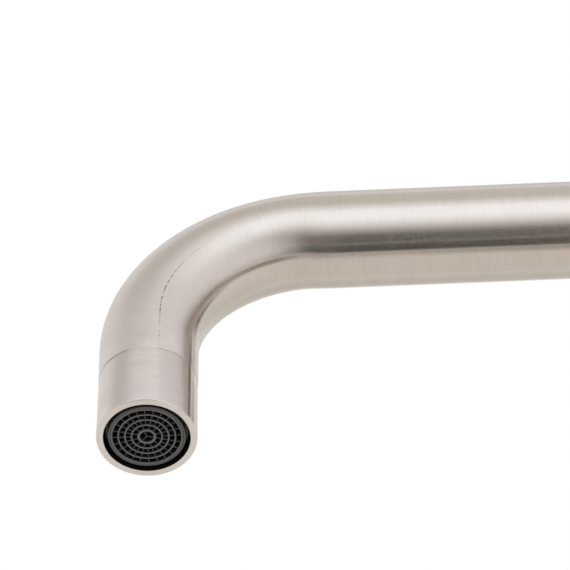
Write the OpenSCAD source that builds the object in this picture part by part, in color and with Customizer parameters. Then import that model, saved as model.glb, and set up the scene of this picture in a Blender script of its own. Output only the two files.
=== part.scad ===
// Gooseneck bar faucet: a flat-topped swivel spout on a round body, with a side lever valve.
// Origin at the centre of the seat on the deck, +Z up, spout toward -Y, valve and lever toward +X.

/* [Spout] */
// Outer diameter of the spout tube
spout_od = 28; // [27:0.5:31]
// Wall of the spout tube
spout_wall = 1.2; // [1:0.1:1.5]
// Radius of both bends, to the tube's centre line
bend_r = 48; // [36:1:60]
// Straight run between the two bends
top_straight = 72; // [30:1:120]
// Height of the nozzle's rim above the deck
outlet_height = 200; // [180:1:240]
// Straight drop from the start of the second bend to the rim
drop_straight = 35.6; // [32:0.2:60]

/* [Nozzle] */
// Length of the turned nozzle, from the joint ring to the rim
nozzle_len = 22.6; // [20:0.2:26]
// How much the nozzle's radius grows from the joint to the rim
nozzle_flare = 0.3; // [0:0.05:0.6]
// Rounding of the rim's outer edge
rim_round = 0.5; // [0.2:0.1:0.7]
// Chamfer that makes the fine joint ring
joint_chamfer = 0.25; // [0.1:0.05:0.5]
// Length of the nozzle's spigot inside the tube
nozzle_spigot_len = 6; // [4:0.5:10]

/* [Aerator] */
// Thread diameter of the recessed aerator
aerator_d = 24; // [23:0.5:24.5]
// Depth of the aerator's face behind the rim
aerator_recess = 0.5; // [0.2:0.1:1.5]
// Diameter of the collar that the aerator's key grips
aerator_collar_d = 21.7; // [21.5:0.1:22]
// Wall of that collar
aerator_lip = 0.64; // [0.5:0.02:0.8]
// Rows of holes in the outlet grid
grid_rows = 4; // [3:1:4]
// Width of one row of holes
grid_row_w = 1.4; // [1.2:0.05:1.5]
// Width of the rings between the rows
grid_ring_w = 0.45; // [0.3:0.05:0.5]
// Width of the rim round the outermost row
grid_rim_w = 0.55; // [0.4:0.05:0.7]
// Width of the ring round the centre hole
grid_hub_w = 0.7; // [0.5:0.05:0.8]
// Ribs across each outer row
grid_ribs = 24; // [18:2:28]
// Thickness of a rib
grid_rib_t = 0.28; // [0.2:0.02:0.4]
// Depth of the grid, along the water's way
grid_depth = 3; // [2:0.5:3]
// How far the ribs lie behind the rings' faces
grid_rib_set = 0.15; // [0.05:0.05:0.4]

/* [Swivel] */
// Diameter of the stem that the spout turns on
stem_d = 22; // [20:0.5:24]
// Bore of the stem, which the water runs through
stem_bore_d = 17; // [12:0.5:17]
// How much the spigot's flange is wider than the tube, on each side
flange_w = 2; // [1.6:0.1:2.5]
// Thickness of the spigot's flange
flange_t = 3; // [2:0.5:4]
// Thickness of the thrust washers
thrust_t = 1.2; // [0.8:0.1:2]
// Length of the spigot's plug inside the tube
plug_len = 12; // [8:1:16]
// Length of thread that holds the swivel collar
collar_thread = 4.8; // [4:0.2:7]
// Height of the collar's head above the body
collar_head = 6; // [4:0.5:10]
// Diameter of the collar's head
collar_d = 39; // [38.5:0.5:42]
// Thickness of the stem's sealing rings
stem_ring_t = 1.3; // [1:0.1:1.5]

/* [Body] */
// Diameter of the body
body_d = 46; // [46:0.5:54]
// Height of the body's top above the deck
body_top = 118; // [114:1:140]
// Rounding of the body's top edge
body_round = 1.6; // [0.5:0.1:1.7]
// Height of the valve's axis above the deck
valve_height = 70; // [64:1:72]
// Diameter of the branch that holds the valve
branch_d = 33; // [32:0.5:35]
// Thread diameter of the two hose inlets
inlet_d = 9; // [8:0.5:10]
// Depth of the two hose inlets
inlet_depth = 10; // [8:0.5:14]
// Spacing of the two hose inlets
inlet_spacing = 13.2; // [12.4:0.1:14]
// Diameter of the riser from the valve to the spout
riser_d = 7; // [5:0.5:8]

/* [Base and deck] */
// Diameter of the base flange
base_d = 53; // [52:0.5:64]
// Height of the base flange
base_h = 6.5; // [5:0.5:9]
// Thickness of the base gasket
gasket_t = 1.5; // [1:0.1:2]
// Thickness of the deck that the faucet is clamped to
deck_t = 25; // [3:1:35]
// Thread diameter of the mounting shank
shank_d = 33; // [31:0.5:34]
// Bore of the mounting shank
shank_bore_d = 26; // [24:0.5:28]
// Length of the shank below the deck's top
shank_drop = 60; // [56:1:80]
// How far the shank is screwed into the body
shank_grip = 11.8; // [8:0.2:12]
// Diameter of the two deck washers
washer_d = 48; // [44:1:56]
// Thickness of the deck's rubber washer
rubber_t = 3; // [2:0.5:4]
// Thickness of the deck's steel washer
steel_t = 2; // [1.5:0.5:3]
// Width of the nut across its flats
nut_af = 47; // [46:1:54]
// Height of the nut
nut_h = 10; // [8:1:12]
// Number of clamping screws in the nut
jack_count = 3; // [2:1:6]
// Thread diameter of the clamping screws
jack_d = 4; // [3:0.5:4]

/* [Cartridge] */
// Diameter of the valve cartridge
cartridge_d = 25; // [24.5:0.1:25.6]
// Distance from the body's axis to the cartridge's seat
seat_x = 6; // [5.5:0.1:7]
// Thickness of the cartridge's base
cart_base_t = 4; // [3:0.5:5]
// Thickness of each ceramic disc
disc_t = 3.5; // [3:0.1:4]
// Diameter of the fixed ceramic disc
fixed_disc_d = 21.6; // [21:0.1:21.8]
// Diameter of the moving ceramic disc
moving_disc_d = 18; // [17.6:0.1:18.2]
// Diameter of the two inlet ports
inlet_port_d = 4; // [3:0.1:4.1]
// Diameter of the outlet port
outlet_port_d = 5; // [4:0.1:5.2]
// Depth of the mixing hollow in the moving disc
mix_depth = 1.6; // [1:0.1:2]
// Thickness of the carrier that pushes the moving disc
carrier_t = 4.5; // [4:0.1:5]
// Diameter of the stem guide
guide_d = 18; // [17.5:0.1:18.4]
// Length of the stem guide
guide_len = 9; // [8.5:0.1:10]
// Diameter of the pin that the lever stem tilts on
pivot_pin_d = 2.5; // [2:0.1:2.6]
// Distance from the pin to the ball on the stem's end
lever_arm = 8; // [7.8:0.1:8.4]
// Diameter of the ball on the stem's end
ball_d = 4.8; // [4.2:0.1:4.8]
// Width of the square lever stem
lever_stem_w = 6; // [5:0.1:6.2]
// Height of the ring nut that holds the cartridge
cart_nut_h = 6.8; // [5:0.1:7]

/* [Handle] */
// Travel of the lever from shut to full flow, in degrees
tilt_range = 25; // [20:1:26]
// Diameter of the handle's hub
hub_d = 38; // [38:0.5:42]
// Length of the hub along the valve's axis
hub_len = 22.6; // [22:0.2:30]
// Rounding of the hub's outer edge
hub_round = 1.8; // [0.5:0.1:3]
// Diameter of the lever rod at the hub
rod_d = 9; // [8:0.5:10]
// Diameter of the lever rod at its tip
rod_tip_d = 7; // [6:0.5:8]
// Length of the lever rod that shows
rod_len = 78; // [50:1:88]
// Thickness of the bonnet's dome
dome_wall = 1.5; // [1.2:0.1:1.8]
// Diameter of the screw that locks the hub on the stem
grub_d = 5; // [4:0.5:6]

/* [Fits] */
// Running clearance of turned parts that move in each other, on the radius
run_gap = 0.05; // [0.03:0.01:0.08]
// Clearance of fixed parts that are pushed or screwed together, on the radius
fix_gap = 0.05; // [0.03:0.01:0.08]
// Open clearance between parts that move past each other
air_gap = 0.3; // [0.2:0.05:0.4]

/* [Hidden] */
$fn = 96;

// overshoot of a cut past the face that it opens
cut = 1;

// spout
spout_r = spout_od / 2;
tube_bore_r = spout_r - spout_wall;
reach = 2 * bend_r + top_straight;
bend_z = outlet_height + drop_straight;
top_z = bend_z + bend_r;
tube_end_z = outlet_height + nozzle_len;
tube_foot_z = body_top - collar_thread - thrust_t;

// aerator, measured up from the nozzle's rim
aerator_r = aerator_d / 2;
collar_r = aerator_collar_d / 2;
lip_bore_r = collar_r - aerator_lip;
parting_gap = 0.07;
grid_r = lip_bore_r - parting_gap;
aerator_collar_h = 2.5;
aerator_thread_len = 7.5;
aerator_neck_h = 1.5;
aerator_wall = 2.4;
aerator_neck_step = 1.9;
ledge_step = 1.7;
aerator_face_z = aerator_recess;
aerator_thread_z = aerator_face_z + aerator_collar_h;
aerator_shoulder_z = aerator_thread_z + aerator_thread_len;
aerator_top_z = aerator_shoulder_z + aerator_neck_h;
stack_r = aerator_r - aerator_wall;
neck_r = aerator_r - aerator_neck_step;
ledge_bore_r = aerator_r - ledge_step;
grid_top_z = aerator_face_z + grid_depth;
screen_gap = 0.1;
screen_t = 0.8;
jet_gap = 0.5;
jet_t = 2.2;
regulator_t = 2.4;
filter_gap = 0.3;
screen_z = grid_top_z + screen_gap;
jet_z = screen_z + screen_t + jet_gap;
regulator_z = jet_z + jet_t;
filter_z = regulator_z + regulator_t + filter_gap;
regulator_rim = 1;
regulator_channel = 5.4;
regulator_spoke_h = 0.8;
regulator_core_r = stack_r - regulator_rim - regulator_channel;

// swivel
stem_r = stem_d / 2;
flange_r = spout_r + flange_w;
flange_z = tube_foot_z - flange_t;
socket_shoulder_z = flange_z - thrust_t;
recess_r = flange_r + air_gap;
collar_thread_step = 1.7;
collar_thread_r = recess_r + collar_thread_step;
collar_bore_r = spout_r + air_gap;
socket_floor_t = 2.5;
socket_floor_z = valve_height + cartridge_d / 2 + socket_floor_t;
stem_foot_gap = 1;
stem_foot_z = socket_floor_z + stem_foot_gap;
stem_ring_rise = 4;
stem_ring_pitch = 7;
stem_ring_z = [stem_foot_z + stem_ring_rise, stem_foot_z + stem_ring_rise + stem_ring_pitch];
stem_groove_depth = stem_ring_t;
stem_groove_play = 0.39;
stem_groove_w = stem_ring_t + stem_groove_play;

// body
body_r = body_d / 2;
branch_r = branch_d / 2;
shank_r = shank_d / 2;
shank_top_z = base_h + shank_grip;
shank_end_gap = 0.2;
shank_socket_z = shank_top_z + shank_end_gap;
// play round the shank of the pieces that it passes through
shank_play = 0.5;
base_rim_w = 0.8;
nut_top_z = -deck_t - rubber_t - steel_t;
jack_circle_r = (shank_r + nut_af / 2) / 2;
inlet_y = inlet_spacing / 2;
feed_r = 2.9;
riser_x = -6.5;

// cartridge, measured out along the valve's axis
cart_r = cartridge_d / 2;
cart_play = 0.2;
cart_bore_r = cart_r + cart_play;
disc_x = seat_x + cart_base_t;
moving_x = disc_x + disc_t;
carrier_x = moving_x + disc_t;
pocket_floor = 0.5;
ball_x = carrier_x + pocket_floor + air_gap + ball_d / 2;
pivot_x = ball_x + lever_arm;
carrier_gap = 0.5;
guide_x = carrier_x + carrier_t + carrier_gap;
guide_end_x = guide_x + guide_len;
guide_r = guide_d / 2;
cart_wall = 1.4;
disc_room_r = cart_r - cart_wall;
shoulder_set = 3.2;
housing_shoulder_x = guide_x + shoulder_set;
neck_lip = 1.5;
neck_end_x = guide_end_x + neck_lip;
housing_neck_r = guide_r + cart_wall;
cart_thread_step = 1.5;
cart_thread_r = cart_r + cart_thread_step;
bonnet_skirt_len = 1.8;
bonnet_gap = 0.2;
branch_end_x = housing_shoulder_x + cart_nut_h + bonnet_gap + bonnet_skirt_len;
inlet_port = [4.2, 3.6];
outlet_port = [0, -5];
seal_t = 1;
seal_w = 1;
seal_play = 0.1;
peg_r = 1;
peg_spread = 6;
peg_depth = 1;
peg_end_gap = 0.2;

// the disc's travel follows the tilt in a straight line
straight_share = 0.978;
travel_per_rad = straight_share * lever_arm;
disc_travel = travel_per_rad * tilt_range * PI / 180;
mix_r = 3.2;
mix_run = 5.4;
key_flat = 7.2;

// handle
hub_r = hub_d / 2;
dome_r = norm([branch_end_x - pivot_x, branch_r]);
hub_bore_r = dome_r + air_gap;
dome_opening = 40;
rim_overlap = 1;
hub_rim_x = pivot_x + hub_bore_r * cos(dome_opening + tilt_range + rim_overlap);
hub_end_x = hub_rim_x + hub_len;
hub_face_t = 3;
stem_end_x = hub_end_x - hub_face_t;
rod_inset = 8.5;
rod_x = hub_end_x - rod_inset;
rod_seat_depth = 0.7;
rod_seat_r = hub_r - rod_seat_depth;
rod_stub_step = 1.5;
rod_stub_r = rod_d / 2 - rod_stub_step;
rod_stub_len = 7;
plug_seat_depth = 4;
plug_r = grub_d / 2 + 1;

// turns a piece that is drawn up +Z onto the valve's axis: its x to +Y, its y to +Z, its z to +X
module on_valve_axis() {
  translate([0, 0, valve_height]) rotate([90, 0, 90]) children();
}

module at_outlet() {
  translate([0, -reach, outlet_height]) children();
}

module ring(outer, inner, height) {
  difference() {
    cylinder(r = outer, h = height);
    translate([0, 0, -cut]) cylinder(r = inner, h = height + 2 * cut);
  }
}

module torus(centre_r, section_r) {
  rotate_extrude() translate([centre_r, 0]) circle(r = section_r);
}

// a round bar with its upper edge rounded
module rounded_bar(radius, height, edge) {
  rotate_extrude() {
    square([radius, height - edge]);
    square([radius - edge, height]);
    translate([radius - edge, height - edge]) intersection() {
      circle(r = edge);
      square(edge);
    }
  }
}

// the spout's centre line as a solid of radius r: rising leg, bend, top run, bend, falling leg
module spout_run(r, overshoot = 0) {
  translate([0, 0, tube_foot_z - overshoot]) cylinder(r = r, h = bend_z - tube_foot_z + overshoot);
  translate([0, -bend_r, bend_z]) rotate([90, 0, 90]) spout_bend(r);
  translate([0, -bend_r, top_z]) rotate([90, 0, 0]) cylinder(r = r, h = top_straight);
  translate([0, -bend_r - top_straight, bend_z]) rotate([90, 0, 90]) rotate([0, 0, 90]) spout_bend(r);
  translate([0, -reach, tube_end_z - overshoot]) cylinder(r = r, h = bend_z - tube_end_z + overshoot);
}

module spout_bend(r) {
  rotate_extrude(angle = 90) translate([bend_r, 0]) circle(r = r);
}

module spout_tube() {
  color([0.74, 0.71, 0.67]) difference() {
    spout_run(spout_r);
    spout_run(tube_bore_r, cut);
  }
}

// turned nozzle: flared outside, rounded rim, thread bore, ledge for the seal and a spigot for the tube
module outlet_nozzle() {
  tip_r = spout_r + nozzle_flare;
  color([0.74, 0.71, 0.67]) at_outlet() difference() {
    rotate_extrude() {
      polygon([
        [0, 0], [tip_r - rim_round, 0], [tip_r - rim_round, rim_round], [tip_r, rim_round],
        [spout_r, nozzle_len - joint_chamfer], [spout_r - joint_chamfer, nozzle_len],
        [tube_bore_r - fix_gap, nozzle_len], [tube_bore_r - fix_gap, nozzle_len + nozzle_spigot_len],
        [0, nozzle_len + nozzle_spigot_len]
      ]);
      translate([tip_r - rim_round, rim_round]) circle(r = rim_round);
    }
    translate([0, 0, -cut]) cylinder(r = aerator_r + fix_gap, h = aerator_top_z + cut);
    translate([0, 0, -cut]) cylinder(r = ledge_bore_r, h = nozzle_len + nozzle_spigot_len + 2 * cut);
  }
}

// threaded shell with the collar that the key grips
module aerator_housing() {
  color([0.32, 0.31, 0.30]) at_outlet() difference() {
    union() {
      translate([0, 0, aerator_face_z]) cylinder(r = collar_r, h = aerator_thread_z - aerator_face_z);
      translate([0, 0, aerator_thread_z]) cylinder(r = aerator_r, h = aerator_shoulder_z - aerator_thread_z);
      translate([0, 0, aerator_shoulder_z]) cylinder(r = neck_r, h = aerator_top_z - aerator_shoulder_z);
    }
    translate([0, 0, aerator_face_z - cut]) cylinder(r = lip_bore_r, h = grid_depth + cut);
    translate([0, 0, aerator_face_z]) cylinder(r = stack_r, h = aerator_top_z);
  }
}

// moulded outlet grid: rings, radial ribs across each row, and three spokes in the middle
module aerator_outlet_grid() {
  row_out = grid_r - grid_rim_w;
  pitch = grid_row_w + grid_ring_w;
  hub_out = row_out - grid_rows * grid_row_w - (grid_rows - 1) * grid_ring_w;
  hub_in = hub_out - grid_hub_w;
  overlap = 0.15;
  rib_h = grid_depth - grid_rib_set;
  color([0.43, 0.42, 0.40]) at_outlet() translate([0, 0, aerator_face_z]) {
    ring(grid_r, row_out, grid_depth);
    for (k = [1 : grid_rows - 1]) ring(row_out - k * pitch + grid_ring_w, row_out - k * pitch, grid_depth);
    ring(hub_out, hub_in, grid_depth);
    translate([0, 0, grid_rib_set]) {
      // the outer rows share their ribs
      for (a = [0 : 360 / grid_ribs : 359])
        rib(a, row_out - (grid_rows - 1) * pitch + overlap, row_out + overlap, rib_h);
      // the innermost row has half as many, set between them
      for (a = [0 : 720 / grid_ribs : 359])
        rib(a + 360 / grid_ribs, hub_out - overlap, row_out - (grid_rows - 1) * pitch + overlap, rib_h);
      for (a = [-17, 103, 223]) rib(a, 0, hub_in + overlap, rib_h);
      cylinder(r = grid_rib_t, h = rib_h);
    }
  }
}

module rib(angle, from_r, to_r, height) {
  rotate([0, 0, angle]) translate([from_r, -grid_rib_t / 2, 0]) cube([to_r - from_r, grid_rib_t, height]);
}

// a round sieve of crossing bars in a rim
module sieve(radius, rim, height, pitch, bar) {
  ring(radius, radius - rim, height);
  lines = floor((radius - rim) / pitch);
  for (turn = [0, 90]) rotate([0, 0, turn])
    for (k = [-lines : lines]) {
      half = sqrt(pow(radius - rim / 2, 2) - pow(k * pitch, 2));
      translate([-half, k * pitch - bar / 2, 0]) cube([2 * half, bar, height]);
    }
}

module aerator_mixing_screen() {
  rim = 0.8;
  pitch = 2.4;
  bar = 0.5;
  color([0.66, 0.65, 0.63]) at_outlet() translate([0, 0, screen_z])
    sieve(stack_r - fix_gap, rim, screen_t, pitch, bar);
}

// plate whose small holes throw the water as jets
module aerator_jet_plate() {
  jets = 16;
  jet_r = 0.55;
  jet_inset = 2.2;
  dish_inset = 4.2;
  dish_depth = 0.8;
  color([0.86, 0.86, 0.84]) at_outlet() translate([0, 0, jet_z]) difference() {
    cylinder(r = stack_r - fix_gap, h = jet_t);
    for (k = [0 : jets - 1]) rotate([0, 0, k * 360 / jets]) translate([stack_r - jet_inset, 0, -cut])
      cylinder(r = jet_r, h = jet_t + 2 * cut);
    translate([0, 0, -cut]) cylinder(r = stack_r - dish_inset, h = cut + dish_depth);
  }
}

// core and spokes that the rubber ring is pressed against as the pressure rises
module aerator_flow_regulator() {
  spokes = 8;
  spoke_w = 0.7;
  overlap = 0.3;
  color([0.30, 0.52, 0.40]) at_outlet() translate([0, 0, regulator_z]) {
    cylinder(r = regulator_core_r, h = regulator_t);
    ring(stack_r - fix_gap, stack_r - regulator_rim, regulator_t);
    for (k = [0 : spokes - 1]) rotate([0, 0, k * 360 / spokes])
      translate([regulator_core_r - overlap, -spoke_w / 2, 0])
        cube([regulator_channel + 2 * overlap, spoke_w, regulator_spoke_h]);
  }
}

module aerator_regulator_oring() {
  section_r = 0.7;
  color([0.12, 0.12, 0.12]) at_outlet() translate([0, 0, regulator_z + regulator_spoke_h + section_r])
    torus(regulator_core_r + section_r + fix_gap, section_r);
}

// cup-shaped strainer on top of the aerator
module aerator_inlet_filter() {
  wall = 0.6;
  hole_r = 0.6;
  row_pitch = 2.3;
  height = aerator_top_z - filter_z;
  color([0.88, 0.88, 0.86]) at_outlet() translate([0, 0, filter_z]) difference() {
    cylinder(r = stack_r - fix_gap, h = height);
    translate([0, 0, wall]) cylinder(r = stack_r - fix_gap - wall, h = height);
    for (row = [1 : 3]) for (k = [0 : 6 * row - 1]) rotate([0, 0, k * 60 / row])
      translate([row * row_pitch, 0, -cut]) cylinder(r = hole_r, h = wall + 2 * cut);
    translate([0, 0, -cut]) cylinder(r = hole_r, h = wall + 2 * cut);
  }
}

module aerator_seal() {
  edge_gap = 0.15;
  color([0.14, 0.14, 0.14]) at_outlet() translate([0, 0, aerator_shoulder_z])
    ring(aerator_r - edge_gap, neck_r + fix_gap, aerator_neck_h);
}

// plug, flange and stem in one: the tube is fixed on the plug and turns on the stem
module spout_spigot() {
  color([0.78, 0.66, 0.42]) difference() {
    union() {
      translate([0, 0, stem_foot_z]) cylinder(r = stem_r, h = flange_z - stem_foot_z);
      translate([0, 0, flange_z]) cylinder(r = flange_r, h = flange_t);
      translate([0, 0, tube_foot_z]) cylinder(r = tube_bore_r - fix_gap, h = plug_len);
    }
    translate([0, 0, stem_foot_z - cut])
      cylinder(r = stem_bore_d / 2, h = tube_foot_z + plug_len - stem_foot_z + 2 * cut);
    for (z = stem_ring_z) translate([0, 0, z - stem_groove_w / 2])
      ring(stem_r + cut, stem_r - stem_groove_depth, stem_groove_w);
  }
}

module spout_orings() {
  section_r = stem_ring_t / 2;
  color([0.12, 0.12, 0.12]) for (z = stem_ring_z) translate([0, 0, z])
    torus(stem_r - stem_groove_depth + section_r + run_gap / 4, section_r);
}

module lower_thrust_washer() {
  color([0.90, 0.89, 0.85]) translate([0, 0, socket_shoulder_z]) ring(flange_r, stem_r + air_gap, thrust_t);
}

module upper_thrust_washer() {
  edge_gap = 0.1;
  color([0.90, 0.89, 0.85]) translate([0, 0, tube_foot_z])
    ring(flange_r - edge_gap, collar_bore_r, thrust_t);
}

// ring nut round the foot of the tube: it keeps the flange down and lets it turn
module swivel_collar() {
  edge = 1;
  color([0.74, 0.71, 0.67]) difference() {
    union() {
      translate([0, 0, body_top - collar_thread]) cylinder(r = collar_thread_r, h = collar_thread);
      translate([0, 0, body_top]) rounded_bar(collar_d / 2, collar_head, edge);
    }
    translate([0, 0, body_top - collar_thread - cut])
      cylinder(r = collar_bore_r, h = collar_thread + collar_head + 2 * cut);
  }
}

// body with its valve branch, swivel socket, cartridge bore and water ways
module faucet_body() {
  color([0.74, 0.71, 0.67]) difference() {
    union() {
      translate([0, 0, base_h]) rounded_bar(body_r, body_top - base_h, body_round);
      on_valve_axis() cylinder(r = branch_r, h = branch_end_x);
    }
    // swivel socket
    translate([0, 0, socket_floor_z]) cylinder(r = stem_r + run_gap, h = body_top - socket_floor_z + cut);
    translate([0, 0, socket_shoulder_z]) cylinder(r = recess_r, h = body_top - socket_shoulder_z + cut);
    translate([0, 0, body_top - collar_thread])
      cylinder(r = collar_thread_r + fix_gap, h = collar_thread + cut);
    // shank thread
    translate([0, 0, base_h - cut]) cylinder(r = shank_r + fix_gap, h = shank_socket_z - base_h + cut);
    // cartridge bore and its thread
    on_valve_axis() {
      translate([0, 0, seat_x]) cylinder(r = cart_bore_r, h = branch_end_x);
      translate([0, 0, housing_shoulder_x]) cylinder(r = cart_thread_r + fix_gap, h = branch_end_x);
    }
    // two inlets with their feeds up to the valve
    for (side = [-1, 1]) {
      translate([0, side * inlet_y, shank_socket_z - cut]) cylinder(r = inlet_d / 2, h = inlet_depth + cut);
      translate([0, side * inlet_y, shank_socket_z])
        cylinder(r = feed_r, h = valve_height + inlet_port[1] + feed_r - shank_socket_z);
      on_valve_axis() translate([side * inlet_port[0], inlet_port[1], 0])
        cylinder(r = inlet_port_d / 2, h = seat_x + cut);
    }
    // outlet and its riser to the socket
    on_valve_axis() translate([outlet_port[0], outlet_port[1], riser_x])
      cylinder(r = outlet_port_d / 2, h = seat_x - riser_x + cut);
    translate([riser_x, 0, valve_height + outlet_port[1]])
      cylinder(r = riser_d / 2, h = socket_floor_z - valve_height - outlet_port[1] + cut);
  }
}

// flange under the body, hollowed below so that its rim hides the gasket
module base_flange() {
  rim_gap = 0.4;
  edge = 2;
  color([0.74, 0.71, 0.67]) difference() {
    translate([0, 0, rim_gap]) rounded_bar(base_d / 2, base_h - rim_gap, edge);
    translate([0, 0, -cut]) cylinder(r = shank_r + air_gap, h = base_h + 2 * cut);
    translate([0, 0, -cut]) cylinder(r = base_d / 2 - base_rim_w, h = gasket_t + cut);
  }
}

module base_gasket() {
  edge_gap = 0.2;
  color([0.14, 0.14, 0.14]) ring(base_d / 2 - base_rim_w - edge_gap, shank_r + shank_play, gasket_t);
}

module mounting_shank() {
  color([0.78, 0.66, 0.42]) translate([0, 0, -shank_drop])
    ring(shank_r, shank_bore_d / 2, shank_drop + shank_top_z);
}

module deck_rubber_washer() {
  color([0.14, 0.14, 0.14]) translate([0, 0, -deck_t - rubber_t])
    ring(washer_d / 2, shank_r + shank_play, rubber_t);
}

module deck_steel_washer() {
  color([0.70, 0.71, 0.72]) translate([0, 0, -deck_t - rubber_t - steel_t])
    ring(washer_d / 2, shank_r + shank_play, steel_t);
}

module mounting_nut() {
  color([0.78, 0.66, 0.42]) translate([0, 0, nut_top_z - nut_h]) difference() {
    cylinder(d = nut_af / cos(30), h = nut_h, $fn = 6);
    translate([0, 0, -cut]) cylinder(r = shank_r + fix_gap, h = nut_h + 2 * cut);
    for (k = [0 : jack_count - 1]) rotate([0, 0, k * 360 / jack_count]) translate([jack_circle_r, 0, -cut])
      cylinder(r = jack_d / 2 + fix_gap, h = nut_h + 2 * cut);
  }
}

// clamping screws through the nut, with slotted heads, pressing on the steel washer
module nut_jack_screws() {
  shown_len = 2;
  head_h = 3;
  head_step = 0.9;
  slot_w = 0.8;
  slot_depth = 1.2;
  color([0.70, 0.71, 0.72]) for (k = [0 : jack_count - 1]) rotate([0, 0, k * 360 / jack_count])
    translate([jack_circle_r, 0, nut_top_z - nut_h - shown_len]) difference() {
      union() {
        cylinder(r = jack_d / 2, h = nut_h + shown_len);
        translate([0, 0, -head_h]) cylinder(r = jack_d / 2 + head_step, h = head_h);
      }
      translate([-jack_d, -slot_w / 2, -head_h - cut]) cube([2 * jack_d, slot_w, slot_depth + cut]);
    }
}

// the three ports, drawn from z = 0 with the height and the extra radius given
module ports(height, extra = 0) {
  for (side = [-1, 1]) translate([side * inlet_port[0], inlet_port[1], 0])
    cylinder(r = inlet_port_d / 2 + extra, h = height);
  translate([outlet_port[0], outlet_port[1], 0]) cylinder(r = outlet_port_d / 2 + extra, h = height);
}

module cartridge_base() {
  edge_gap = 0.1;
  color([0.92, 0.91, 0.87]) on_valve_axis() translate([0, 0, seat_x]) difference() {
    cylinder(r = cart_r - edge_gap, h = cart_base_t);
    translate([0, 0, -cut]) ports(cart_base_t + 2 * cut);
    translate([0, 0, -cut]) ports(seal_t + cut, seal_w + 2 * seal_play);
  }
}

module cartridge_port_seals() {
  color([0.12, 0.12, 0.12]) on_valve_axis() translate([0, 0, seat_x]) difference() {
    ports(seal_t, seal_w + seal_play);
    translate([0, 0, -cut]) ports(seal_t + 2 * cut, seal_play);
  }
}

module fixed_ceramic_disc() {
  color([0.95, 0.95, 0.93]) on_valve_axis() translate([0, 0, disc_x]) difference() {
    cylinder(r = fixed_disc_d / 2, h = disc_t);
    translate([0, 0, -cut]) ports(disc_t + 2 * cut);
  }
}

// shut at rest: the hollow lies over the outlet and the valve's axis, clear of both inlets
module moving_ceramic_disc() {
  color([0.95, 0.95, 0.93]) on_valve_axis() translate([0, 0, moving_x]) difference() {
    translate([0, -disc_travel / 2, 0]) cylinder(r = moving_disc_d / 2, h = disc_t);
    translate([0, 0, -cut]) {
      cylinder(r = mix_r, h = mix_depth + cut);
      translate([0, -mix_run, 0]) cylinder(r = mix_r, h = mix_depth + cut);
      translate([-mix_r, -mix_run, 0]) cube([2 * mix_r, mix_run, mix_depth + cut]);
    }
    carrier_pegs(peg_depth + peg_end_gap, seal_play);
  }
}

// two pegs that tie the carrier to the disc, down from the disc's back
module carrier_pegs(depth, extra = 0) {
  for (side = [-1, 1]) translate([side * peg_spread, -disc_travel / 2, disc_t - depth])
    cylinder(r = peg_r + extra, h = depth + cut);
}

// pushes the disc: a pocket for the ball, and two flats that slide in the guide's jaws
module disc_carrier() {
  pocket = ball_d / 2 + air_gap;
  edge_gap = 0.4;
  color([0.25, 0.25, 0.26]) on_valve_axis() {
    difference() {
      translate([0, -disc_travel / 2, carrier_x]) cylinder(r = moving_disc_d / 2 - edge_gap, h = carrier_t);
      for (side = [0, 1]) mirror([side, 0, 0])
        translate([key_flat, -moving_disc_d, carrier_x - cut])
          cube([moving_disc_d, 2 * moving_disc_d, carrier_t + 2 * cut]);
      translate([-pocket, -pocket, carrier_x + pocket_floor]) cube([2 * pocket, 2 * pocket, carrier_t]);
    }
    translate([0, 0, moving_x]) carrier_pegs(peg_depth);
  }
}

// plastic shell that holds the discs and carries the guide in its neck
module cartridge_housing() {
  end_gap = 0.1;
  lip_w = 1.5;
  color([0.92, 0.91, 0.87]) on_valve_axis() difference() {
    union() {
      translate([0, 0, disc_x]) cylinder(r = cart_r, h = housing_shoulder_x - disc_x);
      translate([0, 0, housing_shoulder_x]) cylinder(r = housing_neck_r, h = neck_end_x - housing_shoulder_x);
    }
    translate([0, 0, disc_x - cut]) cylinder(r = disc_room_r, h = guide_x - disc_x + cut);
    translate([0, 0, disc_x]) cylinder(r = guide_r + run_gap, h = guide_end_x + end_gap - disc_x);
    translate([0, 0, disc_x]) cylinder(r = guide_r - lip_w, h = branch_end_x);
  }
}

// turns with the lever: a slot for the stem, a cross hole for the pin and two jaws round the carrier
module stem_guide() {
  slot_play = 0.15;
  slot_wall = 2.6;
  jaw_play = 0.2;
  jaw_w = 6;
  jaw_end_gap = 1;
  pin_gap = 0.02;
  slot_w = lever_stem_w + 2 * slot_play;
  slot_h = 2 * (guide_r - slot_wall);
  jaw = key_flat + jaw_play;
  color([0.25, 0.25, 0.26]) on_valve_axis() difference() {
    union() {
      translate([0, 0, guide_x]) cylinder(r = guide_r, h = guide_len);
      intersection() {
        translate([0, 0, carrier_x + jaw_end_gap])
          cylinder(r = guide_r - jaw_play, h = guide_x + cut - carrier_x - jaw_end_gap);
        for (side = [0, 1]) mirror([side, 0, 0])
          translate([jaw, -jaw_w / 2, carrier_x]) cube([guide_r, jaw_w, guide_x + 2 * cut - carrier_x]);
      }
    }
    translate([-slot_w / 2, -slot_h / 2, guide_x - cut]) cube([slot_w, slot_h, guide_len + 2 * cut]);
    translate([-guide_r - cut, 0, pivot_x]) rotate([0, 90, 0])
      cylinder(r = pivot_pin_d / 2 + pin_gap, h = 2 * (guide_r + cut));
  }
}

module pivot_pin() {
  end_gap = 0.4;
  half = guide_r - end_gap;
  color([0.70, 0.71, 0.72]) on_valve_axis() translate([-half, 0, pivot_x]) rotate([0, 90, 0])
    cylinder(r = pivot_pin_d / 2, h = 2 * half);
}

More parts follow.
